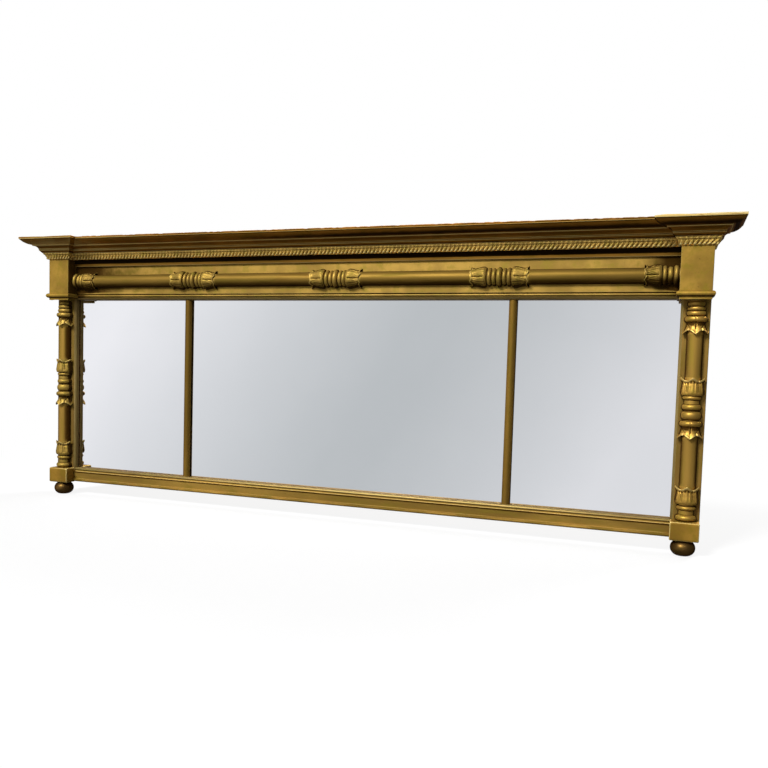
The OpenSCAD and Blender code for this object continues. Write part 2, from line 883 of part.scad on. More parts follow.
module left_column_capital() { color(gilt_dark) on_left() column_capital(); }
module left_upper_shaft() { color(gilt) on_left() upper_shaft(); }
module left_column_collar() { color(gilt_dark) on_left() column_collar(); }
module left_lower_shaft() { color(gilt) on_left() lower_shaft(); }
module left_column_base() { color(gilt_dark) on_left() column_base(); }
module right_column_capital() { color(gilt_dark) column_capital(); }
module right_upper_shaft() { color(gilt) upper_shaft(); }
module right_column_collar() { color(gilt_dark) column_collar(); }
module right_lower_shaft() { color(gilt) lower_shaft(); }
module right_column_base() { color(gilt_dark) column_base(); }

module left_plinth() { color(gilt) on_left() plinth(); }
module right_plinth() { color(gilt) plinth(); }
module left_bun_foot() { color(gilt_dark) on_left() bun_foot(); }
module right_bun_foot() { color(gilt_dark) bun_foot(); }
module foot_dowels() { color(pine) on_both_sides() foot_dowel(); }

module cornice_screws() { color(iron) cornice_screw_set(); }
module left_hanger_plate() { color(brass) on_left() hanger_plate(); }
module right_hanger_plate() { color(brass) hanger_plate(); }
module left_hanger_ring() { color(brass) on_left() hanger_ring(); }
module right_hanger_ring() { color(brass) hanger_ring(); }

module hanger_screws() {
    color(iron) {
        hanger_pins();
        hanger_pin_places() mirror([0, 0, 1]) cylinder(h = pin_head, r = pin_r * 2);
    }
}

left_stile();
right_stile();
frieze_board();
bottom_rail();
left_slip();
right_slip();
top_slip();
bottom_slip();
left_glazing_bar();
right_glazing_bar();
left_mirror_plate();
centre_mirror_plate();
right_mirror_plate();
left_backboard();
centre_backboard();
right_backboard();
glass_wedges();
backboard_nails();
main_cornice();
frieze_cove();
main_leaf_strip();
left_cornice_cap();
right_cornice_cap();
left_leaf_strip();
right_leaf_strip();
left_corner_block();
right_corner_block();
left_block_bead();
right_block_bead();
frieze_shaft_outer_left();
frieze_shaft_inner_left();
frieze_shaft_inner_right();
frieze_shaft_outer_right();
frieze_collar_left();
frieze_collar_centre();
frieze_collar_right();
frieze_end_cup_left();
frieze_end_cup_right();
left_column_capital();
left_upper_shaft();
left_column_collar();
left_lower_shaft();
left_column_base();
right_column_capital();
right_upper_shaft();
right_column_collar();
right_lower_shaft();
right_column_base();
left_plinth();
right_plinth();
left_bun_foot();
right_bun_foot();
foot_dowels();
cornice_screws();
left_hanger_plate();
right_hanger_plate();
left_hanger_ring();
right_hanger_ring();
hanger_screws();
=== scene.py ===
import math

import bmesh
import bpy
import numpy as np
from mathutils import Matrix, Vector


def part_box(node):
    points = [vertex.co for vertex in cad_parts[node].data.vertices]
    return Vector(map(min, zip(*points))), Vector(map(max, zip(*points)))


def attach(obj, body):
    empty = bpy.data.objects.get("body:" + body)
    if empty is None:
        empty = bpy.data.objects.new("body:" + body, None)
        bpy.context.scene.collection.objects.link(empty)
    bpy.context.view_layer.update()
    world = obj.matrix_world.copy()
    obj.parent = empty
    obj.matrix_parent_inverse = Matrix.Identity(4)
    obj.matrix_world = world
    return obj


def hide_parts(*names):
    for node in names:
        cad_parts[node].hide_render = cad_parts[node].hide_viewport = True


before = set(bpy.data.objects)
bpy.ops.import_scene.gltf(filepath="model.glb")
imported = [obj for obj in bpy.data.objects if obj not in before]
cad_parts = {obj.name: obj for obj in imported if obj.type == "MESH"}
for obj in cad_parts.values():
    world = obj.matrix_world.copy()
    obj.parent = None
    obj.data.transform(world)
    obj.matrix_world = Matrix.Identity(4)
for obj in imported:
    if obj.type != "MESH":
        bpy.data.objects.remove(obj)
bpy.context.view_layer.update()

# ----------------------------------------
# Timber frame: two stiles, the deep frieze board over the glass and the moulded rail under
# it, mortised together. Pine, gessoed and gilded on the front and edges, bare at the back.

MM = 0.001
SIDES = ((-1, "left"), (1, "right"))


class Value:
    """A shader value that sums, products and powers can be written with."""

    def __init__(self, tree, socket):
        self.tree, self.socket = tree, socket

    def math(self, operation, *terms):
        node = self.tree.nodes.new("ShaderNodeMath")
        node.operation = operation
        for socket, term in zip(node.inputs, terms):
            feed(self.tree, socket, term)
        return Value(self.tree, node.outputs[0])

    def __add__(self, other):
        return self.math("ADD", self, other)

    def __radd__(self, other):
        return self.math("ADD", other, self)

    def __sub__(self, other):
        return self.math("SUBTRACT", self, other)

    def __rsub__(self, other):
        return self.math("SUBTRACT", other, self)

    def __mul__(self, other):
        return self.math("MULTIPLY", self, other)

    def __truediv__(self, other):
        return self.math("DIVIDE", self, other)

    def ramp(self, low, high):
        """0 below low, 1 above high and smooth between them."""
        node = self.tree.nodes.new("ShaderNodeMapRange")
        node.interpolation_type = "SMOOTHSTEP"
        for socket, term in zip(node.inputs, (self, low, high)):
            feed(self.tree, socket, term)
        return Value(self.tree, node.outputs[0])


def feed(tree, socket, term):
    if isinstance(term, Value):
        tree.links.new(term.socket, socket)
    elif isinstance(term, tuple) and len(socket.default_value) == 4:
        socket.default_value = (*term[:3], 1)
    else:
        socket.default_value = term


class Look:
    """A node material or world that is written as sums of values."""

    def __init__(self, owner):
        owner.use_nodes = True
        self.owner, self.tree = owner, owner.node_tree
        self.tree.nodes.clear()

    def node(self, kind, settings, sockets, out=0):
        node = self.tree.nodes.new("ShaderNode" + kind)
        for key, value in settings.items():
            setattr(node, key, value)
        for key, value in sockets.items():
            feed(self.tree, node.inputs[key], value)
        return Value(self.tree, node.outputs[out] if len(node.outputs) else None)

    def mix(self, factor, first, second):
        kind = {"data_type": "RGBA"}
        return self.node("Mix", kind, {0: factor, 6: first, 7: second}, 2)

    def noise(self, at, scale, detail=4, rough=0.55):
        sockets = {"Vector": at, "Scale": scale, "Detail": detail, "Roughness": rough}
        return self.node("TexNoise", {}, sockets)

    def finish(self, sockets):
        shader = self.node("BsdfPrincipled", {}, sockets)
        self.node("OutputMaterial", {}, {"Surface": shader})
        return self.owner

    def stretched(self, at, scale):
        return self.node("VectorMath", {"operation": "MULTIPLY"}, {0: at, 1: scale})


def srgb(red, green, blue):
    """A colour read off a screen, from 0 to 255, as the linear one that shaders take."""
    return tuple(
        c / 12.92 if c <= 0.04045 else ((c + 0.055) / 1.055) ** 2.4
        for c in (red / 255, green / 255, blue / 255)
    )


def gilding(name, leaf, shade, stretch=(1, 1, 1), wear_and_highlight=0.5, metal=0.5, rough=0.54,
            reverse=(srgb(150, 112, 66), srgb(112, 78, 42))):
    """Old toned gilding: mottled leaf, brown in the hollows with grime and painted shade,
    rubbed bright on the ridges with wear and a painted highlight, and chipped to gesso where
    the mesh says so; bare wood at the back and on top."""
    look = Look(bpy.data.materials.new(name))
    at = look.node("TexCoord", {}, {}, "Object")
    along = look.stretched(at, stretch)
    relief = look.node("Attribute", {"attribute_name": "relief"}, {}, "Fac")
    chip = look.node("Attribute", {"attribute_name": "chip"}, {}, "Fac")
    cloud = look.noise(along, 16, 4)
    patch = look.noise(along, 70, 5, 0.6)
    speck = look.noise(at, 900, 3, 0.7)

    tint = look.mix(cloud.ramp(0.36, 0.64), leaf, tuple(0.64 * c for c in leaf))
    olive = (leaf[0] * 0.62, leaf[1] * 0.74, leaf[2] * 0.50)
    tint = look.mix(patch.ramp(0.45, 0.70) * 0.7, tint, olive)
    bole = look.noise(along, 38, 6, 0.65).ramp(0.60, 0.74) * 0.55
    tint = look.mix(bole, tint, tuple(a * b for a, b in zip(leaf, (0.62, 0.48, 0.42))))
    # Hollows, and the darkening that pieces add, turn to the shade colour: grime, and painted
    # shade where the hollows would lie in shadow.
    dirt_and_shade = (relief * 2.4 + (patch - 0.5) * 0.5).ramp(0.12, 0.95)
    tint = look.mix(dirt_and_shade * 0.93, tint, shade)
    # Ridges, and the lightening that pieces add, turn bright gold: rubbed wear, and painted
    # highlight.
    rub_and_highlight = (relief * -2.0 + (patch - 0.5) * 0.6).ramp(0.55, 1.5) * (0.8 * wear_and_highlight)
    tint = look.mix(rub_and_highlight, tint, (0.70, 0.54, 0.20))
    spots = look.noise(at, 260, 2, 0.5).ramp(0.70, 0.78) * 0.45
    tint = look.mix(spots, tint, tuple(0.4 * c for c in shade))
    flake = (chip + (look.noise(at, 330, 5, 0.7) - 0.5) * 0.9).ramp(0.45, 0.6)
    tint = look.mix(flake, tint, srgb(228, 208, 152))

    normal = look.node("NewGeometry", {}, {}, "Normal")
    behind = look.node("SeparateXYZ", {}, {0: normal}, "Y").ramp(0.5, 0.8)
    above = look.node("SeparateXYZ", {}, {0: normal}, "Z").ramp(0.9, 0.97)
    top = TOP_Z * MM
    level = look.node("SeparateXYZ", {}, {0: at}, "Z").ramp(top - 8e-4, top - 3e-4)
    bare = (behind + above * level).ramp(0, 1)
    grain = look.noise(look.stretched(at, (9, 60, 60)), 6, 6, 0.6)
    wood = look.mix(grain.ramp(0.3, 0.7), *reverse)
    tint = look.mix(bare, tint, wood)

    dull = (dirt_and_shade * 0.25 + patch * 0.16 + flake * 0.4 + bare * 0.4 + (rough - 0.08)).ramp(0, 1)
    height = cloud * 0.9 + patch * 0.4 + speck * 0.10
    sockets = {"Strength": 0.35, "Distance": 0.0012, "Height": height}
    bump = look.node("Bump", {}, sockets)
    return look.finish({
        "Base Color": tint,
        "Metallic": (1 - bare) * (1 - flake) * (metal - dirt_and_shade * 0.2),
        "Roughness": dull,
        "Normal": bump,
        "Specular IOR Level": 0.22,
        "Specular Tint": tuple(min(1, a * b) for a, b in zip(leaf, (1.5, 1.3, 1.0))),
    })


def arc(x, y, r, start, end, steps):
    """Points of an arc in a section, its angles in degrees."""
    turns = np.radians(np.linspace(start, end, steps + 1))
    return [(x + r * math.cos(t), y + r * math.sin(t)) for t in turns]


def eased(points, r, step=2.5):
    """A closed section with its corners rounded and its long sides cut into short ones."""
    corners = []
    points = [np.array(p, float) for i, p in enumerate(points)
              if math.dist(p, points[i - 1]) > 1e-6]
    for i, here in enumerate(points):
        back, on = points[i - 1] - here, points[(i + 1) % len(points)] - here
        lengths = np.linalg.norm(back), np.linalg.norm(on)
        back, on = back / lengths[0], on / lengths[1]
        turn = math.pi - math.acos(max(-1, min(1, float(back @ on))))
        if turn < math.radians(20):
            corners.append(here)
            continue
        cut = min(r * math.tan(turn / 2), 0.45 * lengths[0], 0.45 * lengths[1])
        for t in (0, 0.25, 0.5, 0.75, 1):
            bend = (1 - t) ** 2 * back * cut + t**2 * on * cut
            corners.append(here + bend)
    out = []
    for i, here in enumerate(corners):
        on = corners[(i + 1) % len(corners)]
        parts = max(1, math.ceil(np.linalg.norm(on - here) / step))
        out += [tuple(here + (on - here) * k / parts) for k in range(parts)]
    return out


def loft(rings):
    """A closed mesh through rings of points in millimetres, each ring a closed loop."""
    shape = bmesh.new()
    rows = [[shape.verts.new(Vector(p) * MM) for p in ring] for ring in rings]
    for low, high in zip(rows, rows[1:]):
        for i in range(len(low)):
            shape.faces.new((low[i - 1], low[i], high[i], high[i - 1]))
    shape.faces.new(rows[0])
    shape.faces.new(rows[-1])
    return shape


def attribute(data, name, values):
    """Gives a mesh one number at each of its vertices."""
    data.attributes.new(name, "FLOAT", "POINT").data.foreach_set(
        "value", np.asarray(values, np.float32).ravel())


def hollows(data, dirt_wear_and_painted_light=None, reach=2.4e-3, spread=2):
    """Writes how hollow (above 0) or ridged (below 0) the mesh is at each vertex, with
    any darkening or lightening that the piece adds: grime and painted shade above 0, wear
    and painted highlight below 0."""
    count = len(data.vertices)
    place, normal = np.empty(count * 3), np.empty(count * 3)
    ends = np.empty(len(data.edges) * 2, int)
    data.vertices.foreach_get("co", place)
    data.vertices.foreach_get("normal", normal)
    data.edges.foreach_get("vertices", ends)
    place, normal = place.reshape(-1, 3), normal.reshape(-1, 3)
    first, second = ends.reshape(-1, 2).T
    step = place[second] - place[first]
    length = np.maximum(np.linalg.norm(step, axis=1), 1e-6)
    weight = np.zeros(count)
    bend = np.zeros(count)
    for at, sign in ((first, 1), (second, -1)):
        np.add.at(bend, at, sign * (normal[at] * step).sum(1) / length**2)
        np.add.at(weight, at, 1)
    bend = np.clip(bend / np.maximum(weight, 1) * reach, -1, 1)
    pull = np.zeros(count)
    for at in (first, second):
        np.add.at(pull, at, 1 / length)
    for _ in range(spread):
        near = np.zeros(count)
        np.add.at(near, first, bend[second] / length)
        np.add.at(near, second, bend[first] / length)
        bend = 0.5 * bend + 0.5 * near / np.maximum(pull, 1e-9)
    if dirt_wear_and_painted_light is not None:
        bend = bend + np.asarray(dirt_wear_and_painted_light, float).ravel()
    attribute(data, "relief", bend)


def add(name, data):
    """Puts an object into the scene."""
    obj = bpy.data.objects.new(name, data)
    bpy.context.scene.collection.objects.link(obj)
    return obj


def piece(shape, node, look, sharp=38, chip=None, dirt_wear_and_painted_light=None, name=None):
    """Turns a finished mesh into a piece of the frame that stands for a CAD node."""
    name = name or node + "_gilt"
    data = bpy.data.meshes.new(name)
    if chip is None and dirt_wear_and_painted_light is None:
        bmesh.ops.remove_doubles(shape, verts=shape.verts, dist=1e-6)
        bmesh.ops.dissolve_degenerate(shape, edges=shape.edges, dist=1e-6)
    bmesh.ops.recalc_face_normals(shape, faces=shape.faces)
    shape.to_mesh(data)
    shape.free()
    data.shade_smooth()
    data.set_sharp_from_angle(angle=math.radians(sharp))
    hollows(data, dirt_wear_and_painted_light)
    if chip is not None:
        attribute(data, "chip", chip)
    data.materials.append(look)
    obj = add(name, data)
    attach(obj, "mirror_frame")
    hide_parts(node)


def limits(node):
    """The low and the high corner of a CAD node's box in millimetres."""
    return [tuple(round(v / MM, 2) for v in corner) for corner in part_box(node)]


# X is measured from the middle, Z up from the frame's origin and D forward from the wall.
(STILE_X, stile_y, _), (SIDE_X, _, TOP_Z) = limits("right_stile")
(PLINTH_X, plinth_y, PLINTH_Z0), (_, _, PLINTH_Z1) = limits("right_plinth")
(SIGHT_X, _, RAIL_TOP), (_, slip_y, FRIEZE_Z) = limits("right_slip")
SIGHT_Z0, SIGHT_Z1 = limits("bottom_slip")[1][2], limits("top_slip")[0][2]
(_, _, GLASS_Z0), (REBATE_X, _, GLASS_Z1) = limits("glass_wedges")
(_, board_y, board_z0), (board_x, _, board_z1) = limits("right_backboard")
BOARD_X, BOARD_Z0, BOARD_Z1 = board_x + 1, board_z0 - 0.5, board_z1 + 0.5
RAIL_Z = limits("bottom_rail")[0][2]
FRAME_D, GLASS_D, BACK_D = -stile_y, -slip_y, -board_y
FRIEZE_D = -limits("frieze_cove")[1][1]

umber = srgb(46, 24, 3)
flat_gilt = gilding("frame gilding", srgb(175, 141, 68), umber, wear_and_highlight=0.25)
stile_gilt = gilding("stile gilding", srgb(150, 118, 58), umber, stretch=(1, 1, 0.3),
                     wear_and_highlight=0.25)

# The cut plan has the rebate's step where the solid one has two points in one place.
solid = [(STILE_X, FRAME_D), (SIDE_X, FRAME_D), (SIDE_X, 0), (BOARD_X, 0), (BOARD_X, 0),
         (REBATE_X, 0), (REBATE_X, GLASS_D), (STILE_X, GLASS_D)]
cut = [*solid[:4], (BOARD_X, BACK_D), (REBATE_X, BACK_D), *solid[6:]]
for side, word in SIDES:
    rings = []
    for z, plan in ((PLINTH_Z0, solid), (BOARD_Z0, solid), (BOARD_Z0, cut),
                    (BOARD_Z1, cut), (BOARD_Z1, solid), (TOP_Z, solid)):
        rings.append([(side * x, -d, z) for x, d in plan])
    stile = loft(rings)
    bmesh.ops.remove_doubles(stile, verts=stile.verts, dist=1e-6)
    bmesh.ops.dissolve_degenerate(stile, edges=stile.edges, dist=1e-6)
    bmesh.ops.recalc_face_normals(stile, faces=stile.faces)
    front_edges = [e for e in stile.edges
                   if e.is_manifold and e.calc_face_angle(0) > 1 and e.calc_length() > 0.1
                   and min(v.co.y for v in e.verts) < -0.02]
    bmesh.ops.bevel(stile, geom=front_edges, offset=1.1 * MM, segments=3, profile=0.5,
                    affect="EDGES", clamp_overlap=True, material=-1)
    wide = [f for f in stile.faces if f.calc_area() > 4e-4]
    bmesh.ops.inset_individual(stile, faces=wide, thickness=1.5 * MM, depth=0)
    piece(stile, word + "_stile", stile_gilt)


def level_member(section, ends, half, count):
    """Rings of a section from left to right. At each end they are cut back to the depths
    that the (x, depth) steps of ends give, from the tip inwards."""
    uncut = [(x, math.inf) for x in np.linspace(-half, half, count)]
    steps = [*((-x, d) for x, d in ends), *uncut, *ends[::-1]]
    return [[(x, -min(d, most), z) for d, z in section] for x, most in steps]


lap = [(REBATE_X, GLASS_D), (STILE_X, GLASS_D)]  # in the stiles' rebates, behind their face
BEAD_TOP = FRIEZE_Z + 8.2
section = eased([
    (GLASS_D, FRIEZE_Z), (FRAME_D, FRIEZE_Z),
    *arc(FRAME_D + 1.6, FRIEZE_Z + 4.1, 1.9, -147, 147, 12), (FRAME_D, BEAD_TOP),
    (FRIEZE_D, BEAD_TOP), (FRIEZE_D, TOP_Z), (BACK_D, TOP_Z), (BACK_D, GLASS_Z1),
    (GLASS_D, GLASS_Z1)], r=0.5)
rings = level_member(section, [*lap, (STILE_X, math.inf)], half=650, count=80)
JOINT_X = 661  # the board's ends, against the corner blocks
# The board darkens beside each corner block, a painted shadow of the block, and more towards
# the left end, painted shade; the bead along its foot is darkened as well.
dirt_wear_and_painted_light = [[0.8 * math.exp((abs(x) - JOINT_X) / 34) + 0.38 * math.exp(-(x + JOINT_X) / 180)
         + 0.3 * (y < -FRAME_D - 0.2 and z < BEAD_TOP - 0.15) for x, y, z in ring]
        for ring in rings]
piece(loft(rings), "frieze_board", flat_gilt, dirt_wear_and_painted_light=dirt_wear_and_painted_light)

rail_gilt = gilding("rail gilding", srgb(182, 145, 68), umber, stretch=(0.25, 1, 1),
                    wear_and_highlight=0.9)
ROLL_R, FASCIA_TOP, LEDGE_D = 3.2, RAIL_Z + 23, 31.5
section = eased([
    (0, RAIL_Z), (FRAME_D, RAIL_Z),
    *arc(FRAME_D + 1.6, RAIL_Z + ROLL_R, ROLL_R, -120, 120, 14),
    (FRAME_D, RAIL_Z + 2 * ROLL_R), (FRAME_D + 3, FASCIA_TOP), (LEDGE_D, FASCIA_TOP),
    (LEDGE_D, RAIL_TOP), (GLASS_D, RAIL_TOP), (GLASS_D, GLASS_Z0), (BACK_D, GLASS_Z0),
    (BACK_D, BOARD_Z0), (0, BOARD_Z0)], r=0.6)
rings = level_member(section, [*lap, (STILE_X, FRAME_D), (PLINTH_X, FRAME_D)],
                     half=PLINTH_X, count=90)
piece(loft(rings), "bottom_rail", rail_gilt)

# ----------------------------------------
# Sight slips: four thin gilded strips round the glass, mitred at the corners and pinned
# into the rebates. They are rubbed brighter than the frame that they sit in.

slip_gilt = gilding("slip gilding", srgb(140, 115, 68), srgb(46, 28, 6),
                    stretch=(0.3, 1, 0.3), wear_and_highlight=0.6, rough=0.44)
SLIP_W = round(STILE_X - SIGHT_X, 2)
slip = eased([(0, GLASS_D), (0, 30), (1.7, 32), (SLIP_W, 33), (SLIP_W, GLASS_D)], r=0.6,
             step=1.5)
for word, z, up in (("top", SIGHT_Z1, 1), ("bottom", SIGHT_Z0, -1)):
    rings = [[(t * (SIGHT_X + r), -d, z + up * r) for r, d in slip]
             for t in np.linspace(-1, 1, 90)]
    piece(loft(rings), word + "_slip", slip_gilt)
middle_z, half_z = (SIGHT_Z0 + SIGHT_Z1) / 2, (SIGHT_Z1 - SIGHT_Z0) / 2
for side, word in SIDES:
    rings = [[(side * (SIGHT_X + r), -d, middle_z + t * (half_z + r)) for r, d in slip]
             for t in np.linspace(-1, 1, 40)]
    piece(loft(rings), word + "_slip", slip_gilt)

# ----------------------------------------
# Glazing bars: two half-round gilded uprights that cover the joints of the three plates.
# A tongue behind each bar runs between the plates and is tenoned into board and rail.

(x0, _, _), (x1, _, _) = limits("right_glazing_bar")
BAR_X, BAR_R, TONGUE = (x0 + x1) / 2, (x1 - x0) / 2, 4
# The bar's back is coloured near black: painted shade, for the dark strip that the gap behind
# the bar shows in the mirror.
bar_gilt = gilding("bar gilding", srgb(136, 104, 44), srgb(40, 24, 4), stretch=(1, 1, 0.2),
                   wear_and_highlight=0.4, rough=0.5, reverse=(srgb(30, 22, 12), srgb(20, 14, 8)))
round_part = [(BAR_R * math.cos(t), GLASS_D + BAR_R * math.sin(t))
              for t in np.linspace(0, math.pi, 25)]
tongue = [(-TONGUE, GLASS_D), (-TONGUE, BACK_D), (TONGUE, BACK_D), (TONGUE, GLASS_D)]
thin = [(max(-TONGUE, min(TONGUE, x)), GLASS_D) for x, d in round_part]
for side, word in SIDES:
    rings = []
    for z, front in ((GLASS_Z0, thin), (SIGHT_Z0, thin),
                     *((z, round_part) for z in np.linspace(SIGHT_Z0, SIGHT_Z1, 50)),
                     (SIGHT_Z1, thin), (GLASS_Z1, thin)):
        rings.append([(side * BAR_X + x, -d, z) for x, d in front + tongue])
    piece(loft(rings), word + "_glazing_bar", bar_gilt)

# ----------------------------------------
# Mirror plates: three pieces of old silvered glass in the rebates, the middle one wider.
# Each is modelled where its silvering appears to lie, a little behind the glass's face.

look = Look(bpy.data.materials.new("silvered glass"))
at = look.node("TexCoord", {}, {}, "Object")
haze = look.noise(at, 5, 3)
bloom = look.noise(at, 34, 6, 0.65).ramp(0.66, 0.80)
pits = look.noise(at, 520, 3, 0.6).ramp(0.74, 0.80) * look.noise(at, 12, 2).ramp(0.5, 0.7)
silver = look.mix(haze.ramp(0.3, 0.7), (0.925, 0.93, 0.935), (0.905, 0.912, 0.918))
silver = look.mix(bloom * 0.10, silver, (0.70, 0.70, 0.68))
silver = look.mix(pits * 0.5, silver, (0.24, 0.22, 0.20))
wave = look.node("Bump", {}, {"Strength": 0.035, "Distance": 0.002, "Height": haze})
silvering = look.finish({
    "Base Color": silver, "Metallic": 1.0, "Roughness": 0.035 + bloom * 0.05 + pits * 0.2,
    "Normal": wave})

# The silvered face lies SILVER_T before the plate's back, its edges CHAMFER inside it.
SILVER_T, CHAMFER = 1.3, 0.8
for word in ("left", "centre", "right"):
    (x0, _, z0), (x1, rear, z1) = limits(word + "_mirror_plate")
    plate = bmesh.new()
    bmesh.ops.create_grid(plate, x_segments=24, y_segments=16, size=0.5)
    made = bmesh.ops.extrude_face_region(plate, geom=plate.faces[:])["geom"]
    for v in made:
        if isinstance(v, bmesh.types.BMVert):
            v.co.z = 1
    for v in plate.verts:
        ahead = 1 - v.co.z
        inset = ahead * CHAMFER
        x = x0 + (v.co.x + 0.5) * (x1 - x0)
        z = z0 + (v.co.y + 0.5) * (z1 - z0)
        x += inset * (-1 if v.co.x > 0.49 else 1 if v.co.x < -0.49 else 0)
        z += inset * (-1 if v.co.y > 0.49 else 1 if v.co.y < -0.49 else 0)
        v.co = Vector((x, rear - ahead * SILVER_T, z)) * MM
    piece(plate, word + "_mirror_plate", silvering, sharp=20,
          name=word + "_silvered_glass")

# ----------------------------------------
# Backboards, glass wedges and nails: thin sawn pine boards in the back of the frame, held
# by cut nails, and small pine blocks glued in front of them to hold the plates.


def dress(nodes, look):
    """Gives its finish to CAD pieces that keep their own mesh."""
    for name in nodes:
        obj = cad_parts[name]
        obj.data.materials.clear()
        obj.data.materials.append(look)


def pine(name, fresh, aged, along):
    """Bare pine with its grain drawn out by along, streaked and stained with age."""
    look = Look(bpy.data.materials.new(name))
    at = look.node("TexCoord", {}, {}, "Object")
    drift = look.noise(at, 3, 2)
    bend = look.node("VectorMath", {"operation": "MULTIPLY_ADD"}, {
        0: look.node("TexNoise", {}, {"Vector": at, "Scale": 2.2}, "Color"),
        1: (0.05, 0.05, 0.05), 2: at})
    fibres = look.noise(look.stretched(bend, along), 26, 6, 0.62)
    rings = look.node("TexWave", {"bands_direction": "Z"}, {
        "Vector": look.stretched(bend, tuple(0.35 * a for a in along)), "Scale": 7.0,
        "Distortion": 5.0, "Detail": 3.0, "Detail Scale": 1.4})
    tint = look.mix(fibres.ramp(0.3, 0.72), fresh, aged)
    tint = look.mix(rings.ramp(0.55, 0.95) * 0.45, tint, tuple(0.6 * c for c in aged))
    tint = look.mix(drift.ramp(0.45, 0.7) * 0.5, tint, tuple(0.7 * c for c in aged))
    stain = look.noise(at, 9, 5, 0.6).ramp(0.6, 0.78) * 0.5
    tint = look.mix(stain, tint, srgb(62, 44, 28))
    bump = look.node("Bump", {}, {
        "Strength": 0.4, "Distance": 0.0006, "Height": fibres * 0.7 + rings * 0.3})
    return look.finish({
        "Base Color": tint, "Roughness": 0.72 + fibres * 0.2, "Normal": bump})


board_pine = pine("backboard pine", srgb(168, 128, 80), srgb(118, 80, 44), (0.12, 1, 1))
block_pine = pine("block pine", srgb(186, 148, 98), srgb(140, 100, 58), (0.3, 1, 1))
dress(["left_backboard", "centre_backboard", "right_backboard"], board_pine)
dress(["glass_wedges", "foot_dowels"], block_pine)


def old_metal(name, bright, dark, rust, metal, rough):
    """Clouded metal with a dull crust in places."""
    look = Look(bpy.data.materials.new(name))
    at = look.node("TexCoord", {}, {}, "Object")
    cloud = look.noise(at, 180, 5, 0.6)
    grit = look.noise(at, 900, 4, 0.65)
    tint = look.mix(cloud.ramp(0.35, 0.65), bright, dark)
    crust = (cloud * 0.6 + grit * 0.4).ramp(0.52, 0.62)
    tint = look.mix(crust * 0.8, tint, rust)
    bump = look.node("Bump", {}, {
        "Strength": 0.35, "Distance": 0.0003, "Height": grit * 0.6 + cloud * 0.4})
    return look.finish({
        "Base Color": tint, "Metallic": (1 - crust * 0.6) * metal,
        "Roughness": rough + crust * 0.25, "Normal": bump})


iron = old_metal("old iron", (0.16, 0.15, 0.14), (0.07, 0.065, 0.06), srgb(92, 52, 28),
                 metal=0.9, rough=0.5)
dress(["backboard_nails", "cornice_screws", "hanger_screws"], iron)

# ----------------------------------------
# Hangers: a brass plate screwed to the back near each end, with a wire ring that swings in
# the plate's knuckle.

brass = old_metal("tarnished brass", (0.62, 0.45, 0.18), (0.36, 0.25, 0.10),
                  srgb(70, 54, 30), metal=0.95, rough=0.34)
dress(["left_hanger_plate", "right_hanger_plate", "left_hanger_ring", "right_hanger_ring"],
      brass)

# ----------------------------------------
# Cornice: the crown runs along the frieze and breaks forward round each corner block as a
# cap. Moulded gesso on pine, nearly black in its hollows with grime and painted shade; its top
# edge is chipped.

BLOCK_X, block_y, BLOCK_Z = limits("right_corner_block")[0]
BLOCK_D, BED_D = -block_y, -limits("frieze_cove")[0][1]
CROWN_Z, LEAF_Z, COVE_Z = (
    limits(node)[0][2] for node in ("main_cornice", "main_leaf_strip", "frieze_cove"))
CROWN_H, CROWN_STEP = TOP_Z - CROWN_Z, 3.0
crown_gilt = gilding("crown gilding", srgb(156, 106, 36), srgb(24, 11, 1),
                     stretch=(0.35, 0.35, 1), wear_and_highlight=0.9, metal=0.55, rough=0.5)
# The crown's face from the fascia up, as (reach in front of the bed, height over its foot).
crown = [(11.5, 0), (11.5, 1), (15.9, 5.6), (15.9, 7.4), *arc(24.6, 6, 8.6, 171, 90, 12),
         (25.9, 14.6), (25.9, 16.4), *arc(23.7, 42.58, 26.27, -85, -36.2, 16), (45, 27.2),
         (46, 27.2), (46, CROWN_H)]
EDGE_R, EDGE_H = 41, 27  # the top edge that wears lies beyond this reach and height
chance = np.random.default_rng(7)


def stations(knots, gap):
    """Points along a path of (x, y, x spread, y spread) knots, about gap apart."""
    out = [np.array(knots[0], float)]
    for a, b in zip(knots, knots[1:]):
        a, b = np.array(a, float), np.array(b, float)
        parts = max(1, round(np.linalg.norm((b - a)[:2]) / gap))
        out += [a + (b - a) * k / parts for k in range(1, parts + 1)]
    return np.array(out)


def run(section, path):
    """Rings of a section of (reach, height) points run along a mitred path."""
    reach, height = np.array(section).T
    rings = np.empty((len(path), len(reach), 3))
    rings[:, :, 0] = path[:, None, 0] + path[:, None, 2] * np.maximum(reach, 0)
    rings[:, :, 1] = path[:, None, 1] + path[:, None, 3] * reach
    rings[:, :, 2] = height
    return rings


def distances(points):
    """How far along a path each of its points lies."""
    steps = np.linalg.norm(np.diff(points, axis=0), axis=1)
    return np.concatenate([[0], np.cumsum(steps)])


def round_block(side):
    """Knots of a path round the open sides of a corner block, at its cornice."""
    return [(side * SIDE_X, 0, side, 0), (side * SIDE_X, -BLOCK_D, side, -1),
            (side * BLOCK_X, -BLOCK_D, -side, -1), (side * BLOCK_X, -BED_D, -side, -1)]


def smooth(x):
    """0 below 0, 1 above 1 and an easy curve between them."""
    x = np.clip(x, 0, 1)
    return x * x * (3 - 2 * x)


def rough_line(travel, gap):
    """A random line from 0 to 1 with one new value each gap."""
    knots = np.arange(0, travel[-1] + 2 * gap, gap)
    return np.interp(travel, knots, chance.random(len(knots)))


def bell(x, centre, width):
    """1 at the centre and next to nothing two widths away from it."""
    return np.exp(-(((x - centre) / width) ** 2))


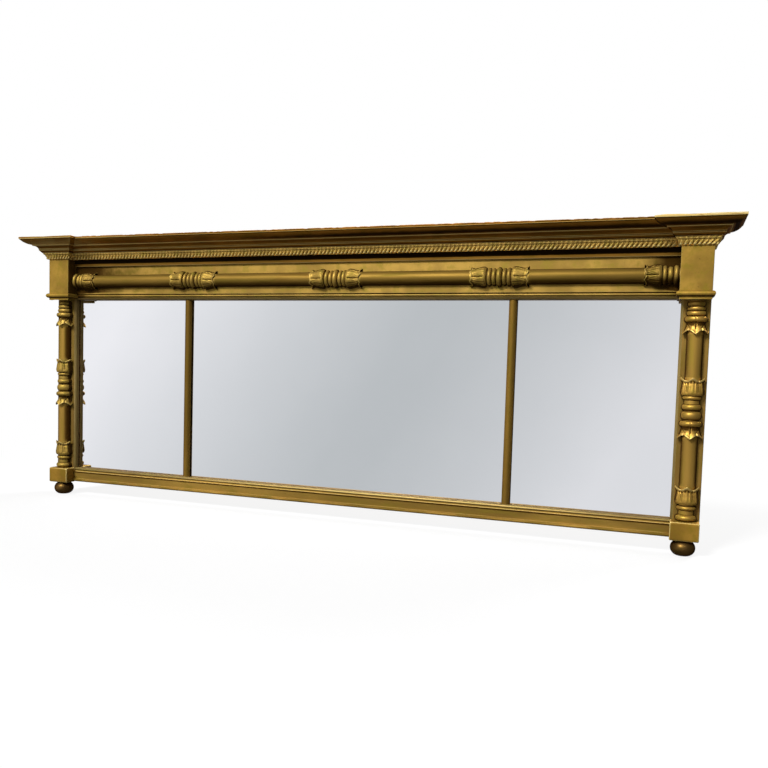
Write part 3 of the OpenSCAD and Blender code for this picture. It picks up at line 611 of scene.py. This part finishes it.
def chipped(rings, travel, reach, height, wear):
    """Wears the crown's top edge down in places and says where gesso shows."""
    outer = smooth((reach - EDGE_R) / 4.5)
    edge = outer * smooth((height - EDGE_H) / 4.5)
    under = outer * smooth((height - EDGE_H + 3) / 5)
    loss = smooth((rough_line(travel, 9) - 0.55) / 0.4) * rough_line(travel, 3.1)
    fine = rough_line(travel, 2.2)
    rings[:, :, 2] -= (loss[:, None] * 1.9 + fine[:, None] * 0.35) * edge
    flake = smooth((rough_line(travel, 7.5) - 0.15) / 0.5) * (0.6 + 0.4 * fine)
    top = outer * smooth((height - EDGE_H - 2.2) / 1.6)
    return wear * flake[:, None] * np.maximum(top, 0.3 * under) * 1.3


def crown_piece(node, back, knots, wear, dull):
    """A length of crown: wear is how far its top edge is rubbed, dull how dirty it is."""
    section = eased([(back, 0), *crown, (back, CROWN_H)], r=0.5, step=2.2)
    reach, height = np.array(section).T
    path = stations(knots, CROWN_STEP)
    travel = distances(path[:, :2])
    rings = run([(r, CROWN_Z + h) for r, h in section], path)
    flakes = chipped(rings, travel, reach, height, wear)
    x, y = path[:, :1], path[:, 1:2]
    # Painted shade, with some grime, lies on the lower part of the round under the top, which
    # faces down, and at the top of the hollow under it, less towards the left, where painted
    # light brightens the left end; a painted highlight runs along the fillet between them.
    dirt_wear_and_painted_light = 0.45 * (1 - smooth((height - 17) / 9)) * (height > 16) + 0.14 * bell(height, 13, 2)
    dirt_wear_and_painted_light = dirt_wear_and_painted_light * (-0.35 + 1.35 * smooth((x + 720) / 820))
    left_end = 1 - smooth((x + 720) / 320)
    dirt_wear_and_painted_light = dirt_wear_and_painted_light - 0.35 * left_end - 1.6 * bell(height, 15.5, 0.9)
    fringe = smooth((height - EDGE_H - 0.3) / 2.5) * smooth((reach - EDGE_R) / 4)
    dirt_wear_and_painted_light = dirt_wear_and_painted_light + (dull - 0.85 * wear * rough_line(travel, 4.3)[:, None]) * fringe
    # The caps' inner return faces, turned from the lamp, get painted shade.
    inner = (np.abs(x) < BLOCK_X + 0.1) & (y > 0.1 - BLOCK_D)
    piece(loft(rings), node, crown_gilt, chip=flakes,
          dirt_wear_and_painted_light=dirt_wear_and_painted_light + 0.4 * inner * (back == 0))


crown_piece("main_cornice", FRIEZE_D - BED_D,
            [(-BLOCK_X, -BED_D, 1, -1), (BLOCK_X, -BED_D, -1, -1)], wear=0.15, dull=0.7)
crown_piece("left_cornice_cap", 0, round_block(-1), wear=0.25, dull=0.6)
crown_piece("right_cornice_cap", 0, round_block(1), wear=1.1, dull=0)

COVE_R, FILLET_D = 8, 40.8
HOLLOW_Z = COVE_Z + 6.4
cove = eased([(FRIEZE_D, COVE_Z), (FILLET_D, COVE_Z), (FILLET_D, HOLLOW_Z),
              *arc(BED_D, HOLLOW_Z, COVE_R, 180, 90, 10), (BED_D, CROWN_Z),
              (FRIEZE_D, CROWN_Z)], r=0.5, step=1.5)
rings = [[(x, -d, z) for d, z in cove] for x in np.linspace(-BLOCK_X, BLOCK_X, 90)]
cove_gilt = gilding("cove gilding", srgb(120, 86, 32), srgb(16, 8, 1), stretch=(0.35, 1, 1),
                    wear_and_highlight=0.4, rough=0.5)
# The cove darkens towards its top under the crown: painted shade, with some grime.
dirt_wear_and_painted_light = [0.8 * float(smooth((z - HOLLOW_Z + 1.75) / 3.5)) for d, z in cove]
piece(loft(rings), "frieze_cove", cove_gilt,
      dirt_wear_and_painted_light=np.tile(dirt_wear_and_painted_light, len(rings)))

# ----------------------------------------
# Leaf strips: pressed ornament under the crown, a row of slanted leaves with a row of small
# beads over it, glued on the bed mould and carried round each corner block.

leaf_gilt = gilding("leaf gilding", srgb(250, 206, 108), srgb(92, 58, 18), wear_and_highlight=1.2,
                    metal=0.35, rough=0.46)
PITCH, STRIP_H, STRIP_STEP = 8.2, 14, 0.7


def leaf_strip(node, knots, lean):
    """Leaves and beads pushed out of a sloping face; lean is the way the leaves slant."""
    face = eased([(2, 0), (4, 3), (8, 9.5), (9.9, 11), (10.5, 12.8), (10.5, STRIP_H),
                  (0, STRIP_H), (0, 0)], r=0.3, step=0.7)
    face = np.array([(r, h) for r, h in face if r > 1 or h in (0, STRIP_H)])
    reach, height = face.T
    path = stations(knots, STRIP_STEP)
    rings = run([(r, LEAF_Z + h) for r, h in face], path)
    along = distances(path[:, :2] + 6 * path[:, 2:4])[:, None] / PITCH
    up = height / STRIP_H
    front = (reach > 1.9).astype(float)
    lower = (along - lean * up * 1.3) % 1 - 0.5
    slim = 0.40 - 0.16 * up
    leaf = np.sqrt(np.maximum(0, 1 - (lower / slim) ** 2 - ((up - 0.30) / 0.36) ** 2))
    bulb = np.sqrt(np.maximum(0, 1 - (lower / 0.36) ** 2 - ((up - 0.15) / 0.17) ** 2))
    upper = (along - lean * (0.35 + up * 0.5)) % 1 - 0.5
    bead = np.sqrt(np.maximum(0, 1 - (upper / 0.33) ** 2 - ((up - 0.78) / 0.18) ** 2))
    relief = np.maximum(np.maximum(leaf * 2.1, bulb * 3.0), bead * 1.1)
    push = (relief - 1.5) * front * (up < 0.965)
    spread = path[:, None, 2:4] * np.ones((1, len(reach), 1))
    rings[:, :, 0] += spread[:, :, 0] * push * 0.88
    rings[:, :, 1] += spread[:, :, 1] * push * 0.88
    rings[:, :, 2] += push * -0.35
    # The bulbs at the feet of the leaves get a painted highlight; the ground between the leaves
    # is darkened a little.
    piece(loft(rings), node, leaf_gilt, sharp=60,
          dirt_wear_and_painted_light=0.06 * (relief < 0.4) * front - 0.8 * bulb)


MITRED = 16  # the length at each end of the main run in which the leaves turn to the mitre
leaf_strip("main_leaf_strip",
           [(-BLOCK_X, -BED_D, 1, -1), (-BLOCK_X + MITRED, -BED_D, 0, -1),
            (BLOCK_X - MITRED, -BED_D, 0, -1), (BLOCK_X, -BED_D, -1, -1)], lean=1)
for side, word in SIDES:
    leaf_strip(word + "_leaf_strip", round_block(side), lean=-side)

# ----------------------------------------
# Corner blocks: plain gilded pine blocks over the columns, each with a round bead about its
# three open sides near the lower edge.

block_gilt = gilding("block gilding", srgb(164, 130, 56), srgb(70, 46, 14), wear_and_highlight=0.3)
(_, _, BAND_Z0), (_, _, BAND_Z1) = limits("right_block_bead")
BAND_R = (BAND_Z1 - BAND_Z0) / 2
for side, word in SIDES:
    plan = eased([(BLOCK_X, -BLOCK_D), (SIDE_X, -BLOCK_D), (SIDE_X, -FRAME_D),
                  (STILE_X, -FRAME_D), (STILE_X, -FRIEZE_D), (BLOCK_X, -FRIEZE_D)], r=0.9)
    rings = [[(side * x, y, z) for x, y in plan]
             for z in (BLOCK_Z, BLOCK_Z + 0.3, *np.linspace(BLOCK_Z + 2, TOP_Z - 1, 54), TOP_Z)]
    # The underside rises a little towards the back, behind the column's top.
    for ring in rings:
        for i, (x, y, z) in enumerate(ring):
            behind = 1 - float(smooth((-y - 37) / 20))
            ring[i] = (x, y, z + 3.6 * behind * max(0, 1 - (z - BLOCK_Z) / 12))
    # The block's inner side face, towards the frieze, gets painted shade.
    dirt_wear_and_painted_light = [0.34 * (abs(x) < BLOCK_X + 0.3 and y > 1 - BLOCK_D) for ring in rings
            for x, y, z in ring]
    centre = np.mean(rings[0], axis=0)
    rings[0] = [tuple(np.array(p) + (centre - np.array(p)) * (0.016, 0.016, 0))
                for p in rings[0]]
    piece(loft(rings), word + "_corner_block", block_gilt, dirt_wear_and_painted_light=dirt_wear_and_painted_light)

    bead = [(0, BAND_Z0), *arc(0, BAND_Z0 + BAND_R, BAND_R, -88, 88, 16), (0, BAND_Z1)]
    rings = run(bead, stations([
        (side * SIDE_X, -FRAME_D, side, 0), (side * SIDE_X, -BLOCK_D, side, -1),
        (side * BLOCK_X, -BLOCK_D, -side, -1), (side * BLOCK_X, -FRIEZE_D, -side, 0)], gap=2.5))
    # The bead darkens towards its lower edge: painted shade under it.
    dirt_wear_and_painted_light = [0.9 * float(1 - smooth((z - BAND_Z0 - 0.25) / 3.2)) for r, z in bead]
    piece(loft(rings), word + "_block_bead", block_gilt,
          dirt_wear_and_painted_light=np.tile(dirt_wear_and_painted_light, len(rings)))

# ----------------------------------------
# Half-columns: split turnings planted on the stiles and laid along the frieze. Each has
# plain shafts between carved leaf cups; the cups have lapped leaves with curled tips.

(x0, _, UPPER_Z0), (x1, _, UPPER_Z1) = limits("right_upper_shaft")
(_, _, LOWER_Z0), (_, _, LOWER_Z1) = limits("right_lower_shaft")
(OUTER_X0, _, z0), (OUTER_X1, _, z1) = limits("frieze_shaft_outer_right")
(INNER_X0, _, _), (INNER_X1, _, _) = limits("frieze_shaft_inner_right")
COLUMN_X, FRIEZE_AXIS_Z, AXIS_D = (x0 + x1) / 2, (z0 + z1) / 2, FRIEZE_D
SHAFT_R, NECK_R = 14.3, 13.7
PACKING = FRIEZE_D - FRAME_D  # brings the side columns as far forward as the frieze's
PHI = np.radians(np.linspace(-90, 90, 97))
# Painted shade: under the level shafts, and on both flanks of the upright ones.
UNDER = 0.34 * smooth((0.15 - np.sin(PHI)) / 0.9)
FLANKS = 0.30 * smooth((np.abs(np.sin(PHI)) - 0.30) / 0.6)
RINGS = {
    # rings as (start, width, swell over the shaft), length of their stack, whole length
    "capital": ([(1.6, 8.8, 1.5), (11.2, 7.2, 2.2), (19, 8.6, 3.0)], 28.3, 59.7),
    "base": ([(0.4, 10.8, 4.7), (20, 7.6, 3.3)], 30.6, 62.9),
    "end": ([(2, 8.6, 4.6), (12.2, 8, 2.4), (21.6, 8, 4.4)], 30.5, 60.5),
    "collar": ([(0.2, 7.4, 2.8), (15.6, 10, 3.2), (28.2, 14.6, 4)], 45, 109),
    "frieze": ([(1.4, 8, 3.6), (10.6, 7.6, 2.8), (19.4, 10.2, 5), (30.8, 7.6, 2.8),
                (39.6, 8, 3.6)], 49, 113),
}
carved_gilt = gilding("carved gilding", srgb(200, 157, 74), srgb(50, 26, 3), wear_and_highlight=0.6,
                      metal=0.6, rough=0.46)
toned_and_painted_shade_gilt = gilding("toned gilding and painted shade", srgb(176, 144, 70), umber, wear_and_highlight=0.4, metal=0.6,
                     rough=0.52)
upright_gilt = gilding("upright gilding", srgb(184, 145, 68), srgb(56, 30, 4),
                       stretch=(1, 1, 0.12), wear_and_highlight=0.4, rough=0.52)
level_gilt = gilding("level gilding", srgb(128, 101, 44), srgb(52, 30, 3),
                     stretch=(0.12, 1, 1), wear_and_highlight=0.4, rough=0.52)


def ring_rows(rings, stack):
    """Rows of (along, radius, leaf weight, wall weight) over a stack of turned rings."""
    spots = [0, stack]
    for at, width, swell in rings:
        turns = np.radians(np.linspace(-90, 90, 15))
        spots += list(at + width / 2 + width / 2 * 0.998 * np.sin(turns))
    spots += list(np.arange(0, stack, 0.8))
    spots = np.unique(np.clip(spots, 0, stack))
    spots = spots[np.concatenate([[True], np.diff(spots) > 0.15])]
    radius = np.full(len(spots), NECK_R)
    for at, width, swell in rings:
        off = np.abs(spots - at - width / 2) / (width / 2)
        arch = np.sqrt(np.maximum(0, 1 - off**2))
        radius = np.maximum(radius, NECK_R + (SHAFT_R + swell - NECK_R) * arch)
    return [(z, r, 0, 0) for z, r in zip(spots, radius)]


BODIES = {
    # (distance from the root, radius) down a cup; distances below 0 count back from its lip
    "leaf": [(9.8, 17.0), (11.4, 16.0), (14, 16.0), (17, 16.3), (-11, 16.9), (-7, 17.8),
             (-4, 18.7), (-2, 19.4), (0, 19.9)],
    "fluted": [(0.9, 18.8), (2.5, 19.9), (5, 20.3), (9, 20.1), (14, 19.3), (-12, 18.6),
               (-8, 17.4), (-5, 16.7), (-2, 16.9), (0, 17.6)],
    "fan": [(0.9, 18.6), (2.5, 19.9), (5, 20.3), (9, 19.9), (13, 19.0), (17, 18.0),
            (-9, 17.0), (-6, 16.4), (-3, 16.3), (0, 17.0)],
}


def cup_rows(length, style):
    """Rows of (along, radius, leaf weight, wall weight) of one leaf cup from its root out:
    roll, body, flared lip, the inside of the lip and the stub of shaft that it springs from."""
    rows = [(0, NECK_R, 0, 0)]
    start = 0.4
    if style == "leaf":
        turns = np.radians(np.linspace(-84, 60, 17))  # the round roll at the root
        rows += [(5 + 5 * math.sin(t), 15.9 + 4.4 * math.cos(t), 0, 0.25) for t in turns]
        start = 9.9
    knots = np.array([(z if z > 0 else length + z, r) for z, r in BODIES[style]])
    spots = np.linspace(start, length - 0.5, 40)
    dense = np.linspace(start, length, 200)
    body = np.convolve(np.pad(np.interp(dense, *knots.T), 6, "edge"), np.ones(13) / 13,
                       "valid")
    rows += [(z, float(np.interp(z, dense, body)),
              float(smooth((z - 0.42 * length) / (0.58 * length))),
              float(smooth((z - start) / 5)) * 0.7 + 0.3) for z in spots]
    lip = knots[-1, 1]
    rows += [(length - 0.1, lip - 0.2, 1, 1), (length, lip - 1.1, 1, 1),
             (length - 0.4, lip - 2.1, 1, 1), (length - 2, 15.4, 1, 0.5),
             (length - 4, 14.9, 1, 0.2), (length - 5.5, SHAFT_R, 1, 0),
             (length - 5, SHAFT_R, 0.9, 0), (length, SHAFT_R, 0, 0)]
    return rows


STYLES = {
    # groove down a leaf, depth of its flutes, flutes to a leaf, depth of a joint, curl of
    # the tips, curl of the tips at the sides, depth of the notches
    "leaf": (2.2, 0.10, 4, 1.7, 0.7, 1.8, 6.6),
    "fluted": (0.4, 0.80, 4, 0.9, 1.8, 2.8, 5.6),
    "fan": (0.5, 0.45, 5, 1.9, 0.5, 2.4, 3.8),
}


def carve(rows, length, spread, first, style):
    """Moves a cup's rows into leaves, spread apart round the axis from the first on:
    returns distances from the root, radii and painted light: painted shade under the root
    roll and under the curled tips, painted highlight on the lips and towards the tips."""
    rib, depth, count, lap, front_curl, side_curl, notch = STYLES[style]
    z, r, leaf, wall = (column[:, None] for column in np.array(rows).T)
    phi = PHI[None, :]
    turn = ((phi - first) / spread + 0.5) % 1 - 0.5
    across = np.abs(turn) * 2
    out = z - leaf * notch * np.sin(math.pi / 2 * across) ** 1.1
    s = np.clip(z / length, 0, 1)
    grow = smooth((s - 0.30) / 0.2) if style == "leaf" else smooth((s - 0.04) / 0.2)
    over = across
    if style == "leaf":
        edge = spread * (0.5 + 0.34 * (1 - smooth((s - 0.35) / 0.5)))
        over = np.abs(phi) / edge
        over = np.where(over > 1, np.minimum(2 - over, 1), over)
    belly = grow * (1.5 * (1 - over**2) - 0.8)
    joint = -lap * bell(over, 1, 0.09) * smooth((s - 0.10) / 0.2)
    vein = -rib * bell(across, 0, 0.10) * (1 - smooth((s - 0.58) / 0.2))
    fan = across / (0.4 + 0.6 * s) if style == "fan" else across
    flutes = -depth * (0.5 - 0.5 * np.cos(math.pi * count * fan)) * grow
    flutes = flutes * (1 - smooth((s - 0.76) / 0.12))
    sides = smooth((np.abs(phi) - 0.75) / 0.45)
    curl = (front_curl + (side_curl - front_curl) * sides) * (1 - across) ** 1.1
    if style == "fluted":
        curl = curl * smooth((s - 0.62) / 0.24)
        rim = 1.1 * np.sqrt(np.maximum(0, 1 - ((s - 0.93) / 0.075) ** 2))
        # Painted shade under the curled tips, and a painted highlight on the lip.
        dirt_wear_and_painted_light = 0.5 * bell(s, 0.78, 0.06) * (1 - across)
        dirt_wear_and_painted_light = dirt_wear_and_painted_light - 0.8 * smooth((s - 0.85) / 0.05) * smooth((r - 15.0) / 0.6)
    else:
        curl = curl * smooth((s - 0.72) / 0.28)
        rim = 0.3 * smooth((s - 0.86) / 0.10)
        # Painted shade under the root roll of a leaf cup, and a painted highlight towards the
        # tips.
        dirt_wear_and_painted_light = (0.5 if style == "leaf" else 0) * bell(z, 13.5, 5) * (z > 9)
        dirt_wear_and_painted_light = dirt_wear_and_painted_light - 0.4 * smooth((s - 0.66) / 0.25) * smooth((r - 16.4) / 0.6)
    radius = r + wall * (belly + joint + vein * smooth(s / 0.08) + flutes + curl + rim)
    return out, radius, dirt_wear_and_painted_light * np.ones_like(radius)


def half_turning(node, look, along, radius, back, place, dirt_wear_and_painted_light):
    """A closed half-round piece from arrays of distance along the axis and radius, with a
    flat back that lies as far as back behind the axis."""
    rings = []
    # Painted shade along the edges where the half-round meets the board, and on its flat back.
    edge = 0.6 * smooth((np.abs(np.sin(PHI)) - 0.82) / 0.15)
    dirt_wear_and_painted_light = np.broadcast_to(dirt_wear_and_painted_light + edge, radius.shape)
    for zs, rs in zip(along, radius):
        ring = [place(z, r * math.sin(t), r * math.cos(t)) for z, r, t in zip(zs, rs, PHI)]
        if back:
            ring = [place(zs[0], -rs[0], -back), *ring, place(zs[-1], rs[-1], -back)]
        rings.append(ring)
    if back:
        dirt_wear_and_painted_light = np.pad(dirt_wear_and_painted_light, ((0, 0), (1, 1)), constant_values=0.7)
    piece(loft(rings), node, look, sharp=50, dirt_wear_and_painted_light=dirt_wear_and_painted_light)


def turned(node, look, kind, place, back, spread, first, styles, down):
    """Rings with one leaf cup, or two cups root to root with rings between them. Down is 1
    where the axis runs down, -1 where it runs up and 0 where it lies level."""
    rings, stack, total = RINGS[kind]
    cup = (total - stack) / len(styles)
    leaves = [carve(cup_rows(cup, style), cup, spread, first, style) for style in styles]
    near = cup if len(styles) == 2 else 0
    middle = np.array(ring_rows(rings, stack))
    along = [np.repeat(middle[:, 0:1] + near, len(PHI), 1), near + stack + leaves[-1][0]]
    radius = [np.repeat(middle[:, 1:2], len(PHI), 1), leaves[-1][1]]
    # Painted shade under each ring of a side column, where the turning narrows downwards.
    under = smooth(-down * np.gradient(middle[:, 1], middle[:, 0]) / 1.2)
    dirt_wear_and_painted_light = [np.repeat(0.45 * under[:, None], len(PHI), 1), leaves[-1][2]]
    if near:
        along.insert(0, cup - leaves[0][0][::-1])
        radius.insert(0, leaves[0][1][::-1])
        dirt_wear_and_painted_light.insert(0, leaves[0][2][::-1])
    # The level turnings get painted shade underneath; the end cups are darker, partly duller
    # toning and partly painted shade.
    dirt_wear_and_painted_light = np.concatenate(dirt_wear_and_painted_light) + (0 if down else UNDER) + 0.22 * (kind == "end")
    half_turning(node, look, np.concatenate(along), np.concatenate(radius),
                 back, place, dirt_wear_and_painted_light)


def on_stile(side, z, up):
    """Puts a point of a side column in its place, along its axis from z."""
    return lambda along, across, out: (side * COLUMN_X + across, -AXIS_D - out, z + up * along)


def on_frieze(x, right):
    """Puts a point of the frieze's column in its place, along its axis from x."""
    return lambda along, across, out: (x + right * along, -AXIS_D - out, FRIEZE_AXIS_Z + across)


def shaft(node, look, place, length, back, dirt_wear_and_painted_light):
    """A plain round length between two carved parts."""
    count = max(4, round(length / 5))
    along = np.repeat(np.linspace(0, length, count)[:, None], len(PHI), 1)
    radius = np.full(along.shape, SHAFT_R)
    half_turning(node, look, along, radius, back, place, dirt_wear_and_painted_light)


def side_turning(node, look, kind, side, z, up, styles, down):
    """A carved part of a side column, its leaves 72 degrees apart with one in front."""
    turned(node, look, kind, on_stile(side, z, up), PACKING, math.radians(72), 0, styles, down)


def frieze_turning(node, kind, x, right, styles):
    """A carved part of the frieze's column, its leaves 60 degrees apart."""
    turned(node, toned_and_painted_shade_gilt, kind, on_frieze(x, right), 0, math.radians(60),
           math.radians(30), styles, 0)


# The left column's cups take the duller toned gilding and its shafts more darkening: painted
# shade, as the left side is less lit.
for (side, word), cups_gilt in zip(SIDES, (toned_and_painted_shade_gilt, carved_gilt)):
    shade = FLANKS + 0.12 * (side < 0)
    side_turning(word + "_column_capital", cups_gilt, "capital", side, BLOCK_Z, -1,
                 ["leaf"], 1)
    shaft(word + "_upper_shaft", upright_gilt, on_stile(side, UPPER_Z0, 1),
          UPPER_Z1 - UPPER_Z0, PACKING, shade)
    side_turning(word + "_column_collar", cups_gilt, "collar", side, UPPER_Z0, -1,
                 ["fluted", "leaf"], 1)
    shaft(word + "_lower_shaft", upright_gilt, on_stile(side, LOWER_Z0, 1),
          LOWER_Z1 - LOWER_Z0, PACKING, shade)
    side_turning(word + "_column_base", cups_gilt, "base", side, PLINTH_Z1, 1,
                 ["fluted"], -1)
    frieze_turning("frieze_end_cup_" + word, "end", side * BLOCK_X, -side, ["fan"])
    shaft("frieze_shaft_outer_" + word, level_gilt, on_frieze(side * OUTER_X0, side),
          OUTER_X1 - OUTER_X0, 0, UNDER)
    shaft("frieze_shaft_inner_" + word, level_gilt, on_frieze(side * INNER_X0, side),
          INNER_X1 - INNER_X0, 0, UNDER)
for word, x in (("left", -OUTER_X0), ("centre", -INNER_X0), ("right", INNER_X1)):
    frieze_turning("frieze_collar_" + word, "frieze", x, 1, ["fan", "fan"])

# ----------------------------------------
# Plinths: gilded pine blocks glued to the stiles under the columns. Their front edges are
# eased and rubbed, lightened with wear and a painted highlight, and they stand on the feet.

plinth_gilt = gilding("plinth gilding", srgb(164, 126, 50), srgb(60, 38, 10), wear_and_highlight=1.2)
PLINTH_D = -plinth_y
plan = eased([(PLINTH_X, -PLINTH_D), (SIDE_X, -PLINTH_D), (SIDE_X, -FRAME_D - 0.2),
              (SIDE_X, -FRAME_D), (PLINTH_X, -FRAME_D), (PLINTH_X, -FRAME_D - 0.2)], r=2,
             step=3)
rim = [(0, 9), (0, 2.2), (0.4, 1.1), (1.1, 0.4)]  # (height in from the end, cut)
levels = [*((PLINTH_Z0 + h, cut) for h, cut in rim),
          *((z, 0) for z in np.linspace(PLINTH_Z0 + 2.3, PLINTH_Z1 - 2.3, 14)),
          *((PLINTH_Z1 - h, cut) for h, cut in rim[::-1])]
middle, half, deep = (SIDE_X + PLINTH_X) / 2, (SIDE_X - PLINTH_X) / 2, PLINTH_D - FRAME_D
for side, word in SIDES:
    rings, dirt_wear_and_painted_light = [], []
    for z, cut in levels:
        ring = [(middle + (x - middle) * (1 - cut / half),
                 -FRAME_D + (y + FRAME_D) * (1 - cut / deep)) for x, y in plan]
        for x, y in ring:
            sides = (x - PLINTH_X, SIDE_X - x, y + PLINTH_D, z - PLINTH_Z0, PLINTH_Z1 - z)
            # The eased edges are lightened: rubbed wear and a painted highlight.
            dirt_wear_and_painted_light.append(-0.5 * float(1 - smooth(sorted(sides)[1] / 3.2)))
        rings.append([(side * x, y, z) for x, y in ring])
    piece(loft(rings), word + "_plinth", plinth_gilt, dirt_wear_and_painted_light=dirt_wear_and_painted_light)

# ----------------------------------------
# Bun feet: flattened turned balls, dowelled up into the plinths. Darker than the rest, with
# the gilding rubbed on the roundest part.

foot_gilt = gilding("foot gilding", srgb(112, 84, 44), srgb(24, 12, 2), wear_and_highlight=0.4,
                    metal=0.8, rough=0.42)
(x0, y0, FLOOR_Z), (x1, y1, z1) = limits("right_bun_foot")
FOOT_X, FOOT_Y, FOOT_H = (x0 + x1) / 2, (y0 + y1) / 2, z1 - FLOOR_Z
ROUND_R, HUB_R = FOOT_H / 2, 0.5
FLAT_R = (x1 - x0) / 2 - ROUND_R
for side, word in SIDES:
    foot = bmesh.new()
    outline = [(HUB_R, 0), (FLAT_R, 0), *arc(FLAT_R, ROUND_R, ROUND_R, -88, 88, 26),
               (FLAT_R, FOOT_H), (HUB_R, FOOT_H)]
    verts = [foot.verts.new(Vector((r, 0, z)) * MM) for r, z in outline]
    edges = [foot.edges.new(pair) for pair in zip(verts, verts[1:])]
    bmesh.ops.spin(foot, geom=verts + edges, cent=(0, 0, 0), axis=(0, 0, 1),
                   angle=2 * math.pi, steps=64, use_merge=True)
    bmesh.ops.holes_fill(foot, edges=foot.edges, sides=0)
    bmesh.ops.translate(foot, verts=foot.verts,
                        vec=Vector((side * FOOT_X, FOOT_Y, FLOOR_Z)) * MM)
    piece(foot, word + "_bun_foot", foot_gilt)

# ----------------------------------------
# Floor, light and camera: a pale floor, a large soft lamp high on the left, a weak one in
# front, one behind, and a studio that metal and glass see where the camera sees white.

look = Look(bpy.data.materials.new("pale floor"))
at = look.node("TexCoord", {}, {}, "Object")
away = look.node("VectorMath", {"operation": "LENGTH"}, {0: at}, "Value")
lit = look.node("AddShader", {}, {
    0: look.node("BsdfDiffuse", {}, {"Color": (0.16, 0.16, 0.16)}),
    1: look.node("Emission", {}, {"Color": (1, 1, 1), "Strength": 0.81})})
far = look.node("Emission", {}, {"Color": (1, 1, 1), "Strength": 1.0})
seen = look.node("MixShader", {}, {0: away.ramp(0.75, 1.5), 1: lit, 2: far})
other = look.node("BsdfDiffuse", {}, {"Color": (0.22, 0.22, 0.22)})
ray = look.node("LightPath", {}, {}, "Is Camera Ray")
solid_floor = look.node("MixShader", {}, {0: ray, 1: other, 2: seen})
gloss = look.node("LightPath", {}, {}, "Is Glossy Ray")
through = look.node("LightPath", {}, {}, "Is Transmission Ray")
clear = look.node("BsdfTransparent", {}, {})
whole = look.node("MixShader", {}, {0: (gloss + through).ramp(0, 1), 1: solid_floor, 2: clear})
look.node("OutputMaterial", {}, {"Surface": whole})
ground = bmesh.new()
bmesh.ops.create_grid(ground, x_segments=4, y_segments=4, size=30)
bmesh.ops.translate(ground, verts=ground.verts, vec=(0, 0, FLOOR_Z * MM))
floor_data = bpy.data.meshes.new("floor")
ground.to_mesh(floor_data)
ground.free()
floor_data.materials.append(look.owner)
floor = add("floor", floor_data)

world = bpy.data.worlds.new("studio")
bpy.context.scene.world = world
look = Look(world)
direction = look.node("TexCoord", {}, {}, "Generated")
split = look.node("SeparateXYZ", {}, {0: direction})
x, y, z = (Value(look.tree, split.socket.node.outputs[i]) for i in range(3))
bearing = (0 - x).math("ARCTAN2", 0 - x, 0 - y)
height = z.math("ARCSINE", z)
sweep = (bearing + height * 0.6) / math.radians(40)
band = look.node("ValToRGB", {}, {"Fac": sweep})
ramp = band.socket.node.color_ramp
DIM, LEAST = 0.46, 0.527  # where along its sweep the studio is dimmest, and its level there
for i, place in enumerate(np.linspace(0, 1, 13)):
    stop = ramp.elements[i] if i < 2 else ramp.elements.new(place)
    stop.position = place
    if place < DIM:
        level = LEAST + 0.245 * (1 - place / DIM) ** 1.5
    else:
        level = LEAST + 0.385 * ((place - DIM) / (1 - DIM)) ** 1.35
    calm = 1 - abs(place - DIM) / (1 - DIM)
    stop.color = (level, level * (1 + 0.05 * calm), level * (1.04 + 0.05 * calm), 1)
ground_grey, ceiling, start, end = ((grey,) * 3 for grey in (0.03, 0.32, 0.10, 0.22))
shade = look.mix(height.ramp(math.radians(-30), math.radians(-11)), ground_grey, band)
shade = look.mix(height.ramp(math.radians(12), math.radians(40)), shade, ceiling)
shade = look.mix(sweep.ramp(-0.75, -0.15), start, shade)
shade = look.mix(sweep.ramp(1.3, 2.0), shade, end)
gloss = look.node("LightPath", {}, {}, "Is Glossy Ray")
camera_ray = look.node("LightPath", {}, {}, "Is Camera Ray")
ambient = look.node("Background", {}, {"Color": shade, "Strength": 0.18})
mirrored = look.node("Background", {}, {"Color": shade, "Strength": 1.0})
white = look.node("Background", {}, {"Color": (1, 1, 1), "Strength": 1.0})
sky = look.node("MixShader", {}, {0: gloss, 1: ambient, 2: mirrored})
sky = look.node("MixShader", {}, {0: camera_ray, 1: sky, 2: white})
look.node("OutputWorld", {}, {"Surface": sky})


def lamp(name, place, aim, size, power):
    data = bpy.data.lights.new(name, "AREA")
    data.shape, data.size, data.energy = "DISK", size, power
    obj = add(name, data)
    obj.location = place
    obj.rotation_euler = (Vector(aim) - Vector(place)).to_track_quat("-Z", "Y").to_euler()


lamp("key", (-1.6, -4.8, 4.5), aim=(0, 0, 0.3), size=1.8, power=508)
lamp("front", (1.4, -4.4, 4.2), aim=(0.3, 0, 0.3), size=2.4, power=50)
lamp("back", (2.4, 4.0, 3.4), aim=(0, 0, 0.3), size=2.6, power=300)

# The camera stands before the right column and is turned to the left.
EYE = (0.6561, -1.5464, 0.28035)
yaw, pitch, roll = (math.radians(a) for a in (-19.74, -3.54, 1.74))
ahead = Vector((math.sin(yaw) * math.cos(pitch), math.cos(yaw) * math.cos(pitch),
                math.sin(pitch)))
right = Vector((math.cos(yaw), -math.sin(yaw), 0))
up = right.cross(ahead)
across = math.cos(roll) * right + math.sin(roll) * up
above = math.cos(roll) * up - math.sin(roll) * right
camera = add("camera", bpy.data.cameras.new("camera"))
camera.matrix_world = Matrix((
    (across.x, above.x, -ahead.x, EYE[0]), (across.y, above.y, -ahead.y, EYE[1]),
    (across.z, above.z, -ahead.z, EYE[2]), (0, 0, 0, 1)))
camera.data.lens, camera.data.sensor_width = 37.23, 36
camera.data.shift_x, camera.data.shift_y = -0.0016, 0.0449
bpy.context.scene.camera = camera
bpy.context.scene.view_settings.view_transform = "Standard"
